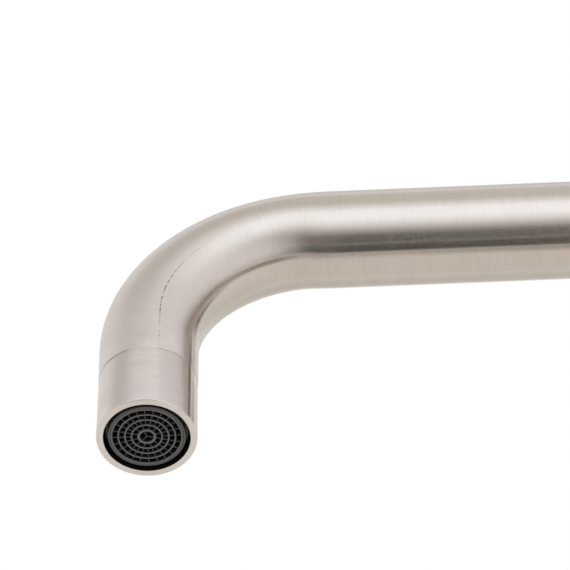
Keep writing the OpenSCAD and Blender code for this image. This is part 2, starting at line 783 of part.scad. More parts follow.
// square stem on the pin: a ball for the carrier at one end, the hub on the other
module lever_stem() {
  ball_neck_len = 2.8;
  ball_neck_step = 0.6;
  square_x = ball_x + ball_neck_len;
  color([0.72, 0.60, 0.36]) on_valve_axis() difference() {
    union() {
      translate([-lever_stem_w / 2, -lever_stem_w / 2, square_x])
        cube([lever_stem_w, lever_stem_w, stem_end_x - square_x]);
      translate([0, 0, ball_x]) cylinder(r = ball_d / 2 - ball_neck_step, h = square_x + cut - ball_x);
      translate([0, 0, ball_x]) sphere(r = ball_d / 2);
    }
    translate([-lever_stem_w, 0, pivot_x]) rotate([0, 90, 0])
      cylinder(r = pivot_pin_d / 2 + run_gap, h = 2 * lever_stem_w);
  }
}

// ring nut with four spanner notches
module cartridge_nut() {
  notch_w = 3;
  notch_depth = 2.5;
  color([0.78, 0.66, 0.42]) on_valve_axis() translate([0, 0, housing_shoulder_x]) difference() {
    ring(cart_thread_r, housing_neck_r + cart_play, cart_nut_h);
    for (turn = [0, 90]) rotate([0, 0, turn])
      translate([-cart_thread_r - cut, -notch_w / 2, cart_nut_h - notch_depth])
        cube([2 * (cart_thread_r + cut), notch_w, notch_depth + cut]);
  }
}

// domed cover over the cartridge: its dome is centred on the pin, so the hub glides over it
module bonnet() {
  web_t = 1.2;
  color([0.74, 0.71, 0.67]) on_valve_axis() {
    difference() {
      translate([0, 0, pivot_x]) sphere(r = dome_r);
      translate([0, 0, pivot_x - 2 * dome_r])
        cylinder(r = 2 * dome_r, h = branch_end_x - pivot_x + 2 * dome_r);
      intersection() {
        translate([0, 0, pivot_x]) sphere(r = dome_r - dome_wall);
        translate([0, 0, branch_end_x + web_t]) cylinder(r = dome_r, h = dome_r);
      }
      translate([0, 0, branch_end_x]) cylinder(r = dome_r * sin(dome_opening), h = 2 * dome_r);
    }
    translate([0, 0, branch_end_x - bonnet_skirt_len])
      ring(cart_thread_r, dome_r * sin(dome_opening), bonnet_skirt_len);
  }
}

// hub: a cap whose hollow is centred on the pin, with a square socket for the stem
module handle_hub() {
  socket_play = 0.1;
  rod_play = 0.1;
  drill_end = 0.5;
  socket_w = lever_stem_w + socket_play;
  color([0.74, 0.71, 0.67]) on_valve_axis() difference() {
    translate([0, 0, hub_rim_x]) rounded_bar(hub_r, hub_len, hub_round);
    translate([0, 0, pivot_x]) sphere(r = hub_bore_r);
    translate([-socket_w / 2, -socket_w / 2, pivot_x]) cube([socket_w, socket_w, stem_end_x - pivot_x]);
    // seat and thread of the rod
    translate([0, hub_r + cut, rod_x]) rotate([90, 0, 0]) {
      cylinder(r = rod_d / 2 + rod_play, h = hub_r + cut - rod_seat_r);
      cylinder(r = rod_stub_r + fix_gap, h = hub_r + cut - rod_seat_r + rod_stub_len + drill_end);
    }
    // thread of the locking screw and seat of its plug
    translate([0, -hub_r - cut, rod_x]) rotate([-90, 0, 0]) {
      cylinder(r = grub_d / 2 + fix_gap, h = hub_r + cut);
      cylinder(r = plug_r, h = plug_seat_depth + cut);
    }
  }
}

// tapered rod with a domed tip and a threaded stub
module lever_rod() {
  tip_r = rod_tip_d / 2;
  color([0.74, 0.71, 0.67]) translate([rod_x, 0, valve_height + rod_seat_r]) {
    cylinder(r1 = rod_d / 2, r2 = tip_r, h = rod_len - tip_r);
    translate([0, 0, rod_len - tip_r]) sphere(r = tip_r);
    translate([0, 0, -rod_stub_len]) cylinder(r = rod_stub_r, h = rod_stub_len);
  }
}

module handle_grub_screw() {
  end_gap = 0.2;
  key_af = 2.5;
  key_depth = 2;
  length = hub_r - lever_stem_w / 2 - plug_seat_depth - end_gap;
  color([0.30, 0.30, 0.31]) translate([rod_x, 0, valve_height - lever_stem_w / 2 - length]) difference() {
    cylinder(r = grub_d / 2, h = length);
    translate([0, 0, -cut]) cylinder(d = key_af / cos(30), h = key_depth + cut, $fn = 6);
  }
}

module index_plug() {
  sunk = 0.4;
  inner_gap = 0.1;
  color([0.45, 0.45, 0.45]) translate([rod_x, 0, valve_height - hub_r + sunk])
    cylinder(r = plug_r - fix_gap, h = plug_seat_depth - sunk - inner_gap);
}

spout_tube();
outlet_nozzle();
aerator_housing();
aerator_outlet_grid();
aerator_mixing_screen();
aerator_jet_plate();
aerator_flow_regulator();
aerator_regulator_oring();
aerator_inlet_filter();
aerator_seal();
spout_spigot();
spout_orings();
lower_thrust_washer();
upper_thrust_washer();
swivel_collar();
faucet_body();
base_flange();
base_gasket();
mounting_shank();
deck_rubber_washer();
deck_steel_washer();
mounting_nut();
nut_jack_screws();
cartridge_base();
cartridge_port_seals();
fixed_ceramic_disc();
moving_ceramic_disc();
disc_carrier();
cartridge_housing();
stem_guide();
pivot_pin();
lever_stem();
cartridge_nut();
bonnet();
handle_hub();
lever_rod();
handle_grub_screw();
index_plug();
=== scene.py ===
import math

import bmesh
import bpy
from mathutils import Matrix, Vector


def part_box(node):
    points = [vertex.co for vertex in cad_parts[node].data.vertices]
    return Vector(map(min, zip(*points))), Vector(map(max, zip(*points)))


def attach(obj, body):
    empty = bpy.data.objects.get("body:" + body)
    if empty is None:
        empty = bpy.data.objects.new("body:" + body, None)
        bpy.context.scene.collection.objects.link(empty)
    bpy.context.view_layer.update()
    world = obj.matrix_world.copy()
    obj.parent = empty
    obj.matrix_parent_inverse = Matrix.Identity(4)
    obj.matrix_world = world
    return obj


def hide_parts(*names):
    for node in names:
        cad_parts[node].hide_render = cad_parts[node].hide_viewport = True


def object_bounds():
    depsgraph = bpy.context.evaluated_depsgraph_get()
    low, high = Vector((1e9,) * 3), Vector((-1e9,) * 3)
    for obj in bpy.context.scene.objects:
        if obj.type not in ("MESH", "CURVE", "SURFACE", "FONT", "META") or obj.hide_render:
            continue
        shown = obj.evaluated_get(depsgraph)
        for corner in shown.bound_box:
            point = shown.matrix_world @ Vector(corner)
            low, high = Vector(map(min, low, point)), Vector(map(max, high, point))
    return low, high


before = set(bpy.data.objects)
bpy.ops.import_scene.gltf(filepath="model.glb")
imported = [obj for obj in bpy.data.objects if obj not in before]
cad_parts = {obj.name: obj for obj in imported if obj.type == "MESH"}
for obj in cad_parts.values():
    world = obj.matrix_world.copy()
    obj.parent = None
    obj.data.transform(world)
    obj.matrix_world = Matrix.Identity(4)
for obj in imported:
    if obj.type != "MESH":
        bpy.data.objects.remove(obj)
cadLow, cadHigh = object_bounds()
mm = 0.001
sameSpot = 0.002 * mm    # points closer than this are joined
print("frame loaded,", len(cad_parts), "nodes")

photoCamera = {
    "lookAt": (0.0, -0.12958, 0.26408),
    "distance": 1.7357,
    "aroundZ": 2.98,       # degrees from +X toward +Y
    "below": 50.33,        # degrees under the horizon
    "lens": 384.0,
    "sensor": 36.0,
    "farClip": 20.0,
}


def placeCamera():
    data = bpy.data.cameras.new("photoCamera")
    data.lens = photoCamera["lens"]
    data.sensor_width = photoCamera["sensor"]
    data.clip_end = photoCamera["farClip"]
    camera = bpy.data.objects.new("photoCamera", data)
    bpy.context.scene.collection.objects.link(camera)
    turn = math.radians(photoCamera["aroundZ"])
    drop = math.radians(photoCamera["below"])
    back = Vector((math.cos(turn) * math.cos(drop), math.sin(turn) * math.cos(drop), -math.sin(drop)))
    camera.location = Vector(photoCamera["lookAt"]) + back * photoCamera["distance"]
    camera.rotation_euler = (-back).to_track_quat("-Z", "Y").to_euler()
    bpy.context.scene.camera = camera


placeCamera()
bpy.context.scene.view_settings.view_transform = "Standard"
print("camera placed")


def newStore():
    # a piece's mesh is gathered here; uvs are its corners' places on the brushing map
    return {"points": [], "faces": [], "uvs": []}


def addSkin(store, rows, lengths, turns, closeRows=False):
    # rows of points, each going once round; lengths and turns give each corner's place on the brushing map
    start = len(store["points"])
    columns = len(rows[0])
    for row in rows:
        store["points"].extend(row)
    last = len(rows) if closeRows else len(rows) - 1
    for i in range(last):
        nextRow = (i + 1) % len(rows)
        for j in range(columns):
            k = (j + 1) % columns
            store["faces"].append((start + i * columns + j, start + i * columns + k,
                                   start + nextRow * columns + k, start + nextRow * columns + j))
            store["uvs"].extend([(lengths[i], turns[j]), (lengths[i], turns[j + 1]),
                                 (lengths[i + 1], turns[j + 1]), (lengths[i + 1], turns[j])])


def makePiece(name, store, sharp=35):
    # edges of more than sharp degrees stay hard
    mesh = bpy.data.meshes.new(name)
    mesh.from_pydata(store["points"], [], store["faces"])
    layer = mesh.uv_layers.new(name="brushing")
    for loop, uv in zip(layer.data, store["uvs"]):
        loop.uv = uv
    work = bmesh.new()
    work.from_mesh(mesh)
    bmesh.ops.remove_doubles(work, verts=work.verts, dist=sameSpot)
    bmesh.ops.recalc_face_normals(work, faces=work.faces)
    work.to_mesh(mesh)
    work.free()
    mesh.shade_smooth()
    mesh.set_sharp_from_angle(angle=math.radians(sharp))
    piece = bpy.data.objects.new(name, mesh)
    bpy.context.scene.collection.objects.link(piece)
    return piece


def roundedProfile(corners, steps=5):
    # corners are (radius, height, rounding) round a closed outline; each rounded one becomes a short arc
    profile = []
    count = len(corners)
    for i, (r, h, rounding) in enumerate(corners):
        here = Vector((r, h))
        if rounding <= 0:
            profile.append(here)
            continue
        before = (Vector(corners[i - 1][:2]) - here).normalized()
        after = (Vector(corners[(i + 1) % count][:2]) - here).normalized()
        halfAngle = before.angle(after) / 2
        cutBack = rounding / math.tan(halfAngle)
        first, final = here + before * cutBack, here + after * cutBack
        for s in range(steps + 1):
            t = s / steps
            profile.append(first * (1 - t) ** 2 + here * 2 * t * (1 - t) + final * t ** 2)
    return profile


def pointRound(centre, radius, height, angle):
    return (centre[0] + radius * math.cos(angle), centre[1] + radius * math.sin(angle), centre[2] + height)


def turnedPiece(name, corners, centre, around, wobble):
    # revolves a closed outline round the vertical line through centre; wobble moves single points outward
    profile = roundedProfile(corners)
    turns = [j / around for j in range(around + 1)]
    lengths = [0.0]
    for a, b in zip(profile, profile[1:] + profile[:1]):
        lengths.append(lengths[-1] + (b - a).length)
    rows = []
    for r, h in profile:
        row = []
        for j in range(around):
            angle = 2 * math.pi * turns[j]
            row.append(pointRound(centre, r + wobble(r, h, angle), h, angle))
        rows.append(row)
    store = newStore()
    addSkin(store, rows, lengths, turns, closeRows=True)
    return makePiece(name, store)


def smoothStep(low, high, value):
    t = min(1.0, max(0.0, (value - low) / (high - low)))
    return t * t * (3 - 2 * t)


tooth = {
    "rows": 8,              # to one pitch
    "height": 1.6,          # of its section before it is cut off at 1, the crest
    "slope": 4.2,
    "mapStep": 0.2 * mm,
}


def threadRows(thread, centre, around):
    # rows follow the helix, so each keeps its place on the thread's flank; both ends run out on the root
    rows = []
    turnsLong = (thread["top"] - thread["bottom"]) / thread["pitch"]
    for i in range(int((turnsLong + 2) * tooth["rows"])):
        phase = (i % tooth["rows"]) / tooth["rows"]
        flank = min(1.0, max(0.0, tooth["height"] - tooth["slope"] * abs(phase - 0.5)))
        row = []
        for j in range(around + 1):
            h = thread["bottom"] + thread["pitch"] * (i / tooth["rows"] - 1 + j / around)
            h = min(thread["top"], max(thread["bottom"], h))
            leadIn = smoothStep(0, thread["pitch"], h - thread["bottom"])
            leadOut = smoothStep(0, thread["pitch"], thread["top"] - h)
            r = thread["root"] + (thread["crest"] - thread["root"]) * flank * (leadIn * leadOut)
            row.append(pointRound(centre, r, h, 2 * math.pi * j / around))
        rows.append(row)
    return rows


def addThread(store, thread, centre, around):
    rows = threadRows(thread, centre, around)
    start = len(store["points"])
    for row in rows:
        store["points"].extend(row)
    wide = around + 1
    for i in range(len(rows) - 1):
        low, high = i * tooth["mapStep"], (i + 1) * tooth["mapStep"]
        for j in range(around):
            store["faces"].append((start + i * wide + j, start + i * wide + j + 1,
                                   start + (i + 1) * wide + j + 1, start + (i + 1) * wide + j))
            left, right = j / around, (j + 1) / around
            store["uvs"].extend([(low, left), (low, right), (high, right), (high, left)])


def addBands(store, profile, centre, around):
    # open strip of revolved bands, for what joins a thread's ends
    rows, lengths = [], [0.0]
    for a, b in zip(profile, profile[1:]):
        lengths.append(lengths[-1] + math.dist(a, b))
    for r, h in profile:
        rows.append([pointRound(centre, r, h, 2 * math.pi * j / around) for j in range(around)])
    addSkin(store, rows, lengths, [j / around for j in range(around + 1)])


def addNode(tree, kind, **settings):
    made = tree.nodes.new(kind)
    for name, value in settings.items():
        setattr(made, name, value)
    return made


def plug(tree, value, socket):
    if isinstance(value, bpy.types.NodeSocket):
        tree.links.new(value, socket)
    else:
        socket.default_value = value


def calc(tree, operation, *values):
    made = addNode(tree, "ShaderNodeMath", operation=operation)
    for socket, value in zip(made.inputs, values):
        plug(tree, value, socket)
    return made.outputs[0]


def vectorCalc(tree, operation, first, second=(0.0, 0.0, 0.0)):
    made = addNode(tree, "ShaderNodeVectorMath", operation=operation)
    plug(tree, first, made.inputs[0])
    if operation == "SCALE":
        plug(tree, second, made.inputs["Scale"])
    else:
        plug(tree, second, made.inputs[1])
    return made.outputs["Value" if operation in ("DOT_PRODUCT", "LENGTH") else "Vector"]


def ramp(tree, value, low, high, toLow=0.0, toHigh=1.0, smooth=False):
    made = addNode(tree, "ShaderNodeMapRange", interpolation_type="SMOOTHSTEP" if smooth else "LINEAR")
    plug(tree, value, made.inputs["Value"])
    for name, number in (("From Min", low), ("From Max", high), ("To Min", toLow), ("To Max", toHigh)):
        made.inputs[name].default_value = number
    return made.outputs["Result"]


def noise(tree, place, scale, detail):
    made = addNode(tree, "ShaderNodeTexNoise")
    plug(tree, place, made.inputs["Vector"])
    made.inputs["Scale"].default_value = scale
    made.inputs["Detail"].default_value = detail
    return made.outputs["Fac"]


def blendColours(tree, share, first, second):
    made = addNode(tree, "ShaderNodeMix", data_type="RGBA")
    plug(tree, share, made.inputs["Factor"])
    plug(tree, first, made.inputs["A"])
    plug(tree, second, made.inputs["B"])
    return made.outputs["Result"]


def addBump(tree, shader, height, distance, softNormal, strength=1.0):
    bump = addNode(tree, "ShaderNodeBump")
    bump.inputs["Strength"].default_value = strength
    bump.inputs["Distance"].default_value = distance
    plug(tree, height, bump.inputs["Height"])
    if softNormal is not None:
        plug(tree, softNormal, bump.inputs["Normal"])
    plug(tree, bump.outputs[0], shader.inputs["Normal"])


def newMaterial(name):
    material = bpy.data.materials.new(name)
    material.use_nodes = True
    return material, material.node_tree, material.node_tree.nodes["Principled BSDF"]


def tone(colour, factor=1.0):
    return tuple(min(1.0, c * factor) for c in colour) + (1.0,)


brushing = {
    "colour": (0.560, 0.505, 0.455),
    "roughness": 0.19,
    "roughnessSpread": 0.02,
    "anisotropy": 1.0,
    "scratchWidth": 0.08 * mm,
    "scratchLength": 3.0 * mm,
    "scratchShare": 0.45,
    "streakWidth": 0.28 * mm,
    "streakLength": 9.0 * mm,
    "streakShare": 0.35,
    "cloudWidth": 6.0 * mm,
    "cloudLength": 9.0 * mm,
    "cloudShare": 0.20,
    "span": (0.36, 0.64),    # the part of the mixed noise over which tone and roughness change
    "shade": 0.970,          # the darker tone of the streaks
    "light": 1.05,
    "bumpHeight": 0.020 * mm,
    "edgeRadius": 0.3 * mm,
    "edgeShare": 0.5,
    "edgeTone": 1.25,
    "edgePolish": 0.06,
    "outletLitColour": (0.599, 0.538, 0.510),    # painted light: the tube's outlet end is a little paler and cooler
    "outletShade": 0.945,
    "outletLight": 1.075,
    "outletFrom": 6.0 * mm,
    "outletTo": 30.0 * mm,
}

wornEdge = {
    "samples": 4,
    "cosines": (0.995, 0.86),    # between the rounded and the flat normal, where the mask starts and is full
}


def edgeMask(tree, radius):
    # 1 along edges, where the rounded normal leaves the flat one
    bevel = addNode(tree, "ShaderNodeBevel", samples=wornEdge["samples"])
    bevel.inputs["Radius"].default_value = radius
    flat = addNode(tree, "ShaderNodeNewGeometry").outputs["Normal"]
    cosine = vectorCalc(tree, "DOT_PRODUCT", bevel.outputs["Normal"], flat)
    return ramp(tree, cosine, *wornEdge["cosines"]), bevel.outputs["Normal"]


def finishSteel(tree, shader, along, unitAround, radius, tangent, softNormal=None, edge=None, seam=None,
                base=None, nearLightShare=None, rougher=0.0, coarse=1.0, contrast=1.0, bands=None):
    # fine scratches and broader streaks, both long round the piece and narrow along it
    def streaks(width, length, detail):
        narrow = calc(tree, "MULTIPLY", along, 1 / width)
        bent = vectorCalc(tree, "SCALE", unitAround, radius / length)
        split = addNode(tree, "ShaderNodeSeparateXYZ")
        plug(tree, bent, split.inputs[0])
        join = addNode(tree, "ShaderNodeCombineXYZ")
        plug(tree, narrow, join.inputs[0])
        plug(tree, calc(tree, "ADD", split.outputs[0], split.outputs[2]), join.inputs[1])
        plug(tree, calc(tree, "SUBTRACT", split.outputs[1], split.outputs[2]), join.inputs[2])
        return noise(tree, join.outputs[0], 1.0, detail)

    fine = streaks(brushing["scratchWidth"] * coarse, brushing["scratchLength"] * coarse, 3.0)
    broad = streaks(brushing["streakWidth"] * coarse, brushing["streakLength"] * coarse, 2.0)
    cloud = streaks(brushing["cloudWidth"], brushing["cloudLength"], 1.0)
    mixed = calc(tree, "ADD", calc(tree, "MULTIPLY", fine, brushing["scratchShare"]),
                 calc(tree, "MULTIPLY", broad, brushing["streakShare"]))
    mixed = calc(tree, "ADD", mixed, calc(tree, "MULTIPLY", cloud, brushing["cloudShare"]))
    base = base or brushing["colour"]
    darker = tone(base, 1 - (1 - brushing["shade"]) * contrast)
    brighter = tone(base, 1 + (brushing["light"] - 1) * contrast)
    # painted light: the tube's outlet end gets a paler, cooler tone
    if nearLightShare is not None:
        outletLitColour = brushing["outletLitColour"]
        darker = blendColours(tree, nearLightShare, darker, tone(outletLitColour, brushing["outletShade"]))
        brighter = blendColours(tree, nearLightShare, brighter, tone(outletLitColour, brushing["outletLight"]))
    colour = blendColours(tree, ramp(tree, mixed, *brushing["span"]), darker, brighter)
    # painted dark reflections, in bands round the piece
    if bands is not None:
        colour = blendColours(tree, bands, colour, tone(base, nozzle["darkReflectionTone"]))
    roughness, spread = brushing["roughness"] + rougher, brushing["roughnessSpread"]
    rough = ramp(tree, mixed, *brushing["span"], roughness + spread, roughness - spread)
    if edge is not None:
        worn = tone(brushing["colour"], brushing["edgeTone"])
        colour = blendColours(tree, calc(tree, "MULTIPLY", edge, brushing["edgeShare"]), colour, worn)
        rough = calc(tree, "SUBTRACT", rough, calc(tree, "MULTIPLY", edge, brushing["edgePolish"]))
    if seam is not None:
        colour = blendColours(tree, seam, colour, tone(weldSeam["colour"]))
        rough = calc(tree, "ADD", rough, calc(tree, "MULTIPLY", seam, weldSeam["rougher"]))
    plug(tree, colour, shader.inputs["Base Color"])
    plug(tree, rough, shader.inputs["Roughness"])
    shader.inputs["Metallic"].default_value = 1.0
    shader.inputs["Anisotropic"].default_value = brushing["anisotropy"]
    plug(tree, tangent, shader.inputs["Tangent"])
    addBump(tree, shader, fine, brushing["bumpHeight"], softNormal)


weldSeam = {
    "angle": 15.0,          # degrees round the tube, from +X toward the inside of the bend
    "drift": 1.4,           # how far it wanders to either side
    "driftAt": 21.0 * mm,
    "driftOver": 6.0 * mm,
    "halfWidth": 0.18 * mm,
    "strongFrom": 14.0 * mm,    # faint before this, strongest after it, then slowly lost
    "strongSoft": 4.0 * mm,
    "faint": 0.45,
    "fadeFrom": 20.0 * mm,
    "fadeTo": 58.0 * mm,
    "dash": 2.6 * mm,
    "dashSpan": (0.45, 0.55),    # where the noise along the seam turns from gap to dash
    "dashShare": (0.06, 0.9),
    "depth": 0.012 * mm,
    "colour": (0.17, 0.138, 0.112),
    "rougher": 0.2,
}

joint = {
    "lip": 0.30 * mm,       # the tube's end, as far as the joint ring's line is wide
    "lipSoft": 0.10 * mm,
    "oxide": ((315, 32, 0.55), (38, 26, 0.22)),    # angle, half width and share of the dark stretches
    "polished": ((2, 19, 1.0), (362, 19, 1.0)),    # where the weld was ground off, above the ring
    "polishedTo": 6.0 * mm,
    "polishedTone": 1.13,
    "fillAngle": -5.0,      # the weld fills the ring's groove on this stretch
    "fillHalf": 20.0,
    "fillFrom": 0.6,        # share of the half stretch past which the fill fades
    "tubeFill": 0.4,        # how much of the tube's chamfer is filled, and of the nozzle's
    "nozzleFill": 0.95,
}


def weldFill(degrees):
    away = abs((degrees - joint["fillAngle"] + 180) % 360 - 180) / joint["fillHalf"]
    return 1 - smoothStep(joint["fillFrom"], 1.0, away)


def bandWeight(tree, turns, bands):
    # each band is an angle in degrees, a half width and the share that it has in its middle
    total = None
    for angle, half, share in bands:
        away = calc(tree, "ABSOLUTE", calc(tree, "SUBTRACT", turns, angle / 360))
        weight = ramp(tree, away, 0.0, half / 360, share, 0.0, smooth=True)
        total = weight if total is None else calc(tree, "ADD", total, weight)
    return total


def markJoint(tree, shader, along, turns):
    # dark oxide in the joint ring on both sides of the weld, and the bright spot that it leaves above
    colour = shader.inputs["Base Color"].links[0].from_socket
    lip = ramp(tree, along, joint["lip"], joint["lip"] + joint["lipSoft"], 1.0, 0.0)
    polished = calc(tree, "MULTIPLY", bandWeight(tree, turns, joint["polished"]),
                    ramp(tree, along, 0.0, joint["polishedTo"], 1.0, 0.0, smooth=True))
    colour = blendColours(tree, polished, colour, tone(brushing["outletLitColour"], joint["polishedTone"]))
    oxide = calc(tree, "MULTIPLY", lip, bandWeight(tree, turns, joint["oxide"]))
    plug(tree, blendColours(tree, oxide, colour, tone(weldSeam["colour"])), shader.inputs["Base Color"])


bendEnd = {
    "roughFrom": 72.0 * mm,    # the brushing is rougher where the first bend ends
    "roughAt": (82.0 * mm, 87.0 * mm),
    "roughTo": 99.0 * mm,
    "rougher": 0.06,
}


def roughenBendEnd(tree, shader, along):
    rough = shader.inputs["Roughness"].links[0].from_socket
    rising = ramp(tree, along, bendEnd["roughFrom"], bendEnd["roughAt"][0], smooth=True)
    falling = ramp(tree, along, bendEnd["roughAt"][1], bendEnd["roughTo"], 1.0, 0.0, smooth=True)
    share = calc(tree, "MULTIPLY", rising, falling)
    plug(tree, calc(tree, "MULTIPLY_ADD", share, bendEnd["rougher"], rough), shader.inputs["Roughness"])


def seamMask(tree, along, turns, radius):
    # the weld line, broken into dashes
    away = calc(tree, "ABSOLUTE", calc(tree, "SUBTRACT", turns, weldSeam["angle"] / 360))
    width = weldSeam["halfWidth"] / (2 * math.pi * radius)
    line = ramp(tree, away, width * 0.5, width * 1.5, 1.0, 0.0, smooth=True)
    fade = ramp(tree, along, weldSeam["fadeFrom"], weldSeam["fadeTo"], 1.0, 0.0, smooth=True)
    beat = noise(tree, calc(tree, "MULTIPLY", along, 1 / weldSeam["dash"]), 1.0, 1.0)
    strong = ramp(tree, along, weldSeam["strongFrom"] - weldSeam["strongSoft"],
                  weldSeam["strongFrom"] + weldSeam["strongSoft"], weldSeam["faint"], 1.0)
    mask = calc(tree, "MULTIPLY", line, fade)
    mask = calc(tree, "MULTIPLY", mask, ramp(tree, beat, *weldSeam["dashSpan"], *weldSeam["dashShare"]))
    return calc(tree, "MULTIPLY", mask, strong)


def tubeSteel(name, radius, seam=False, base=None, rougher=0.0, coarse=1.0, contrast=1.0, bands=()):
    # for the pieces with their own map: length along the piece, then turns round it
    material, tree, shader = newMaterial(name)
    place = addNode(tree, "ShaderNodeUVMap", uv_map="brushing").outputs[0]
    split = addNode(tree, "ShaderNodeSeparateXYZ")
    plug(tree, place, split.inputs[0])
    along, turns = split.outputs[0], split.outputs[1]
    angle = calc(tree, "MULTIPLY", turns, 2 * math.pi)
    around = addNode(tree, "ShaderNodeCombineXYZ")
    plug(tree, calc(tree, "COSINE", angle), around.inputs[0])
    plug(tree, calc(tree, "SINE", angle), around.inputs[1])
    tangent = addNode(tree, "ShaderNodeTangent", direction_type="UV_MAP", uv_map="brushing").outputs[0]
    mask = nearLightShare = None
    if seam:
        mask = seamMask(tree, along, turns, radius)
        # share of the painted light, full at the outlet end
        nearLightShare = ramp(tree, along, brushing["outletFrom"], brushing["outletTo"], 1.0, 0.0, smooth=True)
    finishSteel(tree, shader, along, around.outputs[0], radius, tangent, seam=mask, base=base, nearLightShare=nearLightShare,
                rougher=rougher, coarse=coarse, contrast=contrast, bands=bandWeight(tree, turns, bands))
    if seam:
        markJoint(tree, shader, along, turns)
        roughenBendEnd(tree, shader, along)
    return material


def axisFinder(tree, axis, origin):
    # where a point lies along an axis, the unit direction out from that axis, and how far out it is
    place = addNode(tree, "ShaderNodeTexCoord").outputs["Object"]
    offset = vectorCalc(tree, "SUBTRACT", place, origin)
    along = vectorCalc(tree, "DOT_PRODUCT", offset, axis)
    onAxis = vectorCalc(tree, "SCALE", axis, along)
    outward = vectorCalc(tree, "SUBTRACT", offset, onAxis)
    return along, vectorCalc(tree, "NORMALIZE", outward), vectorCalc(tree, "LENGTH", outward)


def turnedSteel(name, axis, origin, radius, branch=None):
    # for the frame's own nodes: brushed round the axis they were turned on
    material, tree, shader = newMaterial(name)
    along, outward, away = axisFinder(tree, axis, origin)
    circle = vectorCalc(tree, "CROSS_PRODUCT", axis, outward)
    if branch:
        # past the body's own radius the piece was turned on the valve's axis
        branchAlong, branchOutward, _ = axisFinder(tree, branch["axis"], branch["origin"])
        branchCircle = vectorCalc(tree, "CROSS_PRODUCT", branch["axis"], branchOutward)
        past = calc(tree, "GREATER_THAN", away, branch["from"])
        mixes = []
        for first, second in ((circle, branchCircle), (outward, branchOutward)):
            pick = addNode(tree, "ShaderNodeMix", data_type="VECTOR")
            plug(tree, past, pick.inputs["Factor"])
            plug(tree, first, pick.inputs["A"])
            plug(tree, second, pick.inputs["B"])
            mixes.append(pick.outputs["Result"])
        circle, outward = mixes
        keep = calc(tree, "MULTIPLY", along, calc(tree, "SUBTRACT", 1.0, past))
        along = calc(tree, "ADD", keep, calc(tree, "MULTIPLY", branchAlong, past))
    toWorld = addNode(tree, "ShaderNodeVectorTransform", vector_type="VECTOR", convert_from="OBJECT",
                      convert_to="WORLD")
    plug(tree, circle, toWorld.inputs[0])
    normal = addNode(tree, "ShaderNodeNewGeometry").outputs["Normal"]
    tangent = vectorCalc(tree, "CROSS_PRODUCT", normal, toWorld.outputs[0])
    edge, softNormal = edgeMask(tree, brushing["edgeRadius"])
    finishSteel(tree, shader, along, outward, radius, tangent, softNormal=softNormal, edge=edge)
    return material


cutFinish = {
    "stainScale": 180.0,
    "stainTone": 0.78,
    "edgeRadius": 0.25 * mm,
    "edgeShare": 0.6,
    "edgeTone": 1.3,
    "smoother": 0.06,
    "rougher": 0.08,
    "spotShare": 0.35,
    "spotTone": 0.7,
    "bumpStrength": 0.4,
    "bumpHeight": 0.01 * mm,
}


def cutMetal(name, colour, axis, origin, roughness, lineWidth, spots=0.0):
    # metal that was turned on an axis and left as cut; spots is the scale of a zinc coat's grain
    material, tree, shader = newMaterial(name)
    along, outward, away = axisFinder(tree, axis, origin)
    lines = noise(tree, calc(tree, "MULTIPLY", calc(tree, "ADD", along, away), 1 / lineWidth), 1.0, 2.0)
    place = addNode(tree, "ShaderNodeTexCoord").outputs["Object"]
    stain = noise(tree, place, cutFinish["stainScale"], 3.0)
    edge, softNormal = edgeMask(tree, cutFinish["edgeRadius"])
    stained = tone(colour, cutFinish["stainTone"])
    body = blendColours(tree, ramp(tree, stain, 0.35, 0.7), tone(colour), stained)
    if spots:
        cells = addNode(tree, "ShaderNodeTexVoronoi")
        plug(tree, place, cells.inputs["Vector"])
        cells.inputs["Scale"].default_value = spots
        grain = ramp(tree, cells.outputs["Distance"], 0.0, 0.8, 0.0, cutFinish["spotShare"])
        body = blendColours(tree, grain, body, tone(colour, cutFinish["spotTone"]))
    worn = tone(colour, cutFinish["edgeTone"])
    body = blendColours(tree, calc(tree, "MULTIPLY", edge, cutFinish["edgeShare"]), body, worn)
    plug(tree, body, shader.inputs["Base Color"])
    rough = ramp(tree, lines, 0.3, 0.7, roughness - cutFinish["smoother"], roughness + cutFinish["rougher"])
    plug(tree, rough, shader.inputs["Roughness"])
    shader.inputs["Metallic"].default_value = 1.0
    addBump(tree, shader, lines, cutFinish["bumpHeight"], softNormal, cutFinish["bumpStrength"])
    return material


mouldFinish = {
    "cloudScale": 140.0,
    "cloudTone": 1.04,
    "edgeRadius": 0.2 * mm,
    "edgeShare": 0.5,
    "roughnessSpread": 0.07,
    "bumpStrength": 0.35,
}


